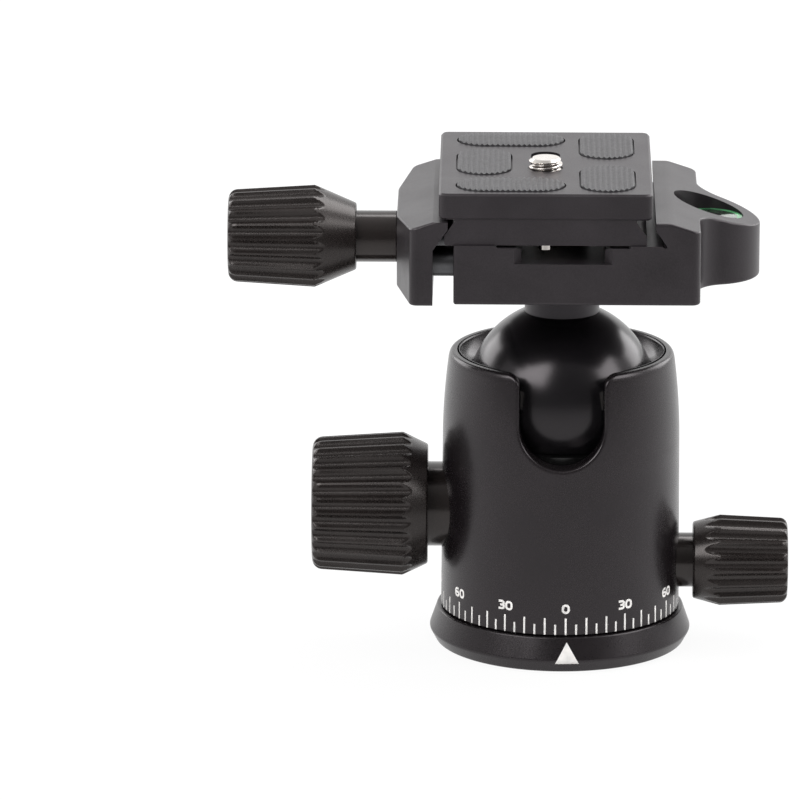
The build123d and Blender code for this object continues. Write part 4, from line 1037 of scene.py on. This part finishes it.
class HEAD_OT_level(Operator):
    """Bubble level: clear domed lens over green fluid, with its ring, target circle and bubble"""

    bl_idname = "head.level"
    bl_label = "Bubble level"

    thick = 0.06 * MM

    def execute(self, context):
        s = context.scene.head_level
        low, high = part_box("level_vial")
        centre = ((low.x + high.x) / 2, (low.y + high.y) / 2, 0)
        brim = (high.x - low.x) / 2
        lens = high.z - s.lens_h
        a = np.linspace(0, math.pi / 2, 20)[:0:-1]
        dome = np.stack([brim * np.sin(a), high.z - s.dome + s.dome * np.cos(a), 0 * a], -1)
        corners = np.vstack([[(0, lens, 0), (brim, lens, 0.05 * MM)], dome, [(0, high.z, 0)]])
        self.turned("level_lens", corners, "level_glass", "level_glass", centre, ("level_vial",))
        inner, fluid, soft = brim - s.wall, lens - 0.08 * MM, 0.1 * MM
        corners = [(0, low.z, 0), (inner, low.z, soft), (inner, fluid, soft), (0, fluid, 0)]
        self.turned("level_fluid", corners, "level_glass", "level_fluid", centre)
        ring, line = brim - 0.15 * MM, 0.12 * MM
        for name, inside, outside, z, finish in (
            ("level_ring", ring - s.ring, ring, lens + 0.1 * MM, "level_ring"),
            ("level_target", s.target_r - line, s.target_r + line, lens + line, "seat_black"),
            # The bubble is a white ring: a painted highlight for the bubble's glint, not a white part of the
            # level.
            ("bubble_glint_ring", s.bubble_r - 0.25 * MM, s.bubble_r, lens + line, "mark"),
        ):
            band = ring_corners(inside, outside, z, z + self.thick)
            self.turned(name, band, "level_cup", finish, centre)
        return {"FINISHED"}

    def turned(self, name, corners, slot, finish, centre, replaces=()):
        """One turned piece of the level, on the clamp."""
        add_turned(name, corners, "head", slot, finish, 96, "+Z", centre, replaces)


class HEAD_OT_small_parts(Operator):
    """Finishes of the carried-over pieces"""

    bl_idname = "head.small_parts"
    bl_label = "Other pieces"

    def execute(self, context):
        slots = {s["node"]: s["material_slot"] for s in frame["record"]["subparts"]}
        for name, obj in NODES.items():
            if not obj.hide_render:
                obj.data.materials.clear()
                obj.data.materials.append(FINISH[slots[name]])
        return {"FINISHED"}


# ---- stage -------------------------------------------------------------------------------------
def empty_tree(owner):
    """The node tree of a material or world, cleared."""
    owner.use_nodes = True
    owner.node_tree.nodes.clear()
    return owner.node_tree


class HEAD_OT_stage(Operator):
    """Pale floor, white surround, soft lights and the camera"""

    bl_idname = "head.stage"
    bl_label = "Stage"

    # Name, turn from the front and height in degrees, width and height in metres, radiance.
    lights = (
        ("left_front", -44.0, 37.0, 0.85, 0.60, 5.4),
        ("right_front", 71.0, 33.0, 0.60, 0.60, 4.6),
        ("left_back", -130.0, 22.0, 0.70, 0.60, 2.8),
        ("right_back", 130.0, 22.0, 0.70, 0.60, 3.3),
        ("top_back", 140.0, 60.0, 1.00, 0.62, 4.4),
    )
    light_distance, light_aim = 1.2, 50 * MM
    # Y where the glow starts and ends to change, and its strength there.
    floor_glow = (-0.42, 0.1, 0.36, 1.05)
    world_glow = (-0.85, 0.7, 0.14, 1.15)
    floor_r, floor_z, glow_share = 1.6, -0.05 * MM, 0.93
    white, pale = (1, 1, 1, 1), (0.9, 0.9, 0.9, 1)
    sensor, picture = 36.0, 800.0

    def execute(self, context):
        self.floor()
        self.surround(context)
        for row in self.lights:
            self.softbox(*row)
        self.camera(context.scene.head_stage)
        context.scene.view_settings.view_transform = "Standard"
        return {"FINISHED"}

    def floor(self):
        """White disc: nearly all glow for the camera, and a glow that fades to the front for reflections."""
        ring = turned_grid(np.array([(self.floor_r, self.floor_z)]), 96)[0]
        mesh = bpy.data.meshes.new("floor")
        mesh.from_pydata(ring.tolist(), [], [tuple(range(len(ring)))])
        mat = bpy.data.materials.new("pale_floor")
        tree = empty_tree(mat)
        y = node(tree, "SeparateXYZ", [node(tree, "TexCoord")["Object"]])["Y"]
        fall = node(tree, "MapRange", (y, *self.floor_glow))[0]
        path = node(tree, "LightPath")
        rays = path["Is Camera Ray"], path["Is Transmission Ray"]
        seen = node(tree, "Math", rays, operation="MAXIMUM")[0]
        shown = node(tree, "Math", (seen, path["Is Glossy Ray"]), operation="MAXIMUM")[0]
        part = node(tree, "Math", (shown, self.glow_share), operation="MULTIPLY")[0]
        strength = node(tree, "Math", (fall, seen), operation="MAXIMUM")[0]
        glow = node(tree, "Emission", (self.white, strength))[0]
        diffuse = node(tree, "BsdfDiffuse", [self.pale])[0]
        node(tree, "OutputMaterial", [node(tree, "MixShader", (part, diffuse, glow))[0]])
        mesh.materials.append(mat)
        obj = placed("floor", mesh)

    def surround(self, context):
        """World: white for the camera; for the object bright behind and at the sides, dark in front."""
        world = bpy.data.worlds.new("studio")
        context.scene.world = world
        tree = empty_tree(world)
        y = node(tree, "SeparateXYZ", [node(tree, "TexCoord")["Generated"]])["Y"]
        back = node(tree, "MapRange", (y, *self.world_glow))[0]
        lit, plain = (node(tree, "Background", (self.white, strength))[0] for strength in (back, 1.0))
        seen = node(tree, "LightPath")["Is Camera Ray"]
        node(tree, "OutputWorld", [node(tree, "MixShader", (seen, lit, plain))[0]])

    def softbox(self, name, turn, height, wide, tall, radiance):
        """Soft rectangular lamp in the given direction; its power is pi times its area and radiance."""
        t, h = math.radians(turn), math.radians(height)
        way = Vector((math.sin(t) * math.cos(h), -math.cos(t) * math.cos(h), math.sin(h)))
        data = bpy.data.lights.new(name, "AREA")
        data.shape = "RECTANGLE"
        data.size, data.size_y = wide, tall
        data.energy = radiance * math.pi * wide * tall
        obj = placed(name, data)
        obj.location = way * self.light_distance + Vector((0, 0, self.light_aim))
        obj.rotation_mode = "QUATERNION"
        obj.rotation_quaternion = (-way).to_track_quat("-Z", "Y")

    def camera(self, s):
        """Camera that looks past the middle, so that the middle lands on its place in the picture."""
        data = bpy.data.cameras.new("camera")
        data.lens = s.lens
        data.sensor_width = self.sensor
        data.clip_start, data.clip_end = 0.1, 20.0
        obj = placed("camera", data)
        az, el = math.radians(s.azimuth), math.radians(s.elevation)
        look = Vector((math.sin(az) * math.cos(el), math.cos(az) * math.cos(el), -math.sin(el)))
        middle = Vector((0, 0, s.middle))
        place = middle - look * s.distance
        right = look.cross(Vector((0, 0, 1))).normalized()
        up = right.cross(look)
        pixel = s.distance / (s.lens / self.sensor * self.picture)
        aim = middle - right * (s.right * pixel) - up * (s.up * pixel)
        roll = Matrix.Rotation(math.radians(s.roll), 3, "Z")
        turn = (aim - place).to_track_quat("-Z", "Y").to_matrix() @ roll
        obj.location = place
        obj.rotation_mode = "QUATERNION"
        obj.rotation_quaternion = turn.to_quaternion()
        bpy.context.scene.camera = obj


# ---- panel and registration --------------------------------------------------------------------
GROUPS = {
    "head_housing": HousingSizes,
    "head_base": BaseSizes,
    "head_scale": ScaleSizes,
    "head_neck": NeckSizes,
    "head_lock_knob": LockKnob,
    "head_pan_knob": PanKnob,
    "head_clamp_knob": ClampKnob,
    "head_flutes": FluteSizes,
    "head_pads": PadSizes,
    "head_screw": ScrewSizes,
    "head_springs": SpringSizes,
    "head_level": LevelSizes,
    "head_finishes": Finishes,
    "head_stage": StageSizes,
}
OPERATORS = (
    HEAD_OT_stage,
    HEAD_OT_base,
    HEAD_OT_housing,
    HEAD_OT_scale,
    HEAD_OT_ball,
    HEAD_OT_knobs,
    HEAD_OT_pads,
    HEAD_OT_screw,
    HEAD_OT_springs,
    HEAD_OT_level,
    HEAD_OT_small_parts,
)


class HEAD_PT_panel(Panel):
    """Sizes, finishes and pieces of the ball head"""

    bl_idname = "HEAD_PT_panel"
    bl_label = "Ball head"
    bl_space_type = "VIEW_3D"
    bl_region_type = "UI"
    bl_category = "Ball Head"

    def draw(self, context):
        for operator in OPERATORS:
            self.layout.operator(operator.bl_idname)
        for group in GROUPS:
            settings = getattr(context.scene, group)
            box = self.layout.box()
            for prop in settings.bl_rna.properties:
                if prop.identifier not in {"rna_type", "name"}:
                    box.prop(settings, prop.identifier)


def register():
    """Registers the classes and hangs the groups on the scene."""
    for cls in (*GROUPS.values(), *OPERATORS, HEAD_PT_panel):
        bpy.utils.register_class(cls)
    for name, cls in GROUPS.items():
        setattr(bpy.types.Scene, name, PointerProperty(type=cls))


def unregister():
    """Takes back what register did."""
    for name in GROUPS:
        delattr(bpy.types.Scene, name)
    for cls in (HEAD_PT_panel, *reversed(OPERATORS), *reversed(list(GROUPS.values()))):
        bpy.utils.unregister_class(cls)


def main():
    """Builds everything and writes the CAD box and the box of what was made."""
    register()
    build_finishes()
    for operator in OPERATORS:
        group, name = operator.bl_idname.split(".")
        getattr(getattr(bpy.ops, group), name)()
    bpy.context.view_layer.update()


if __name__ == "__main__":
    main()
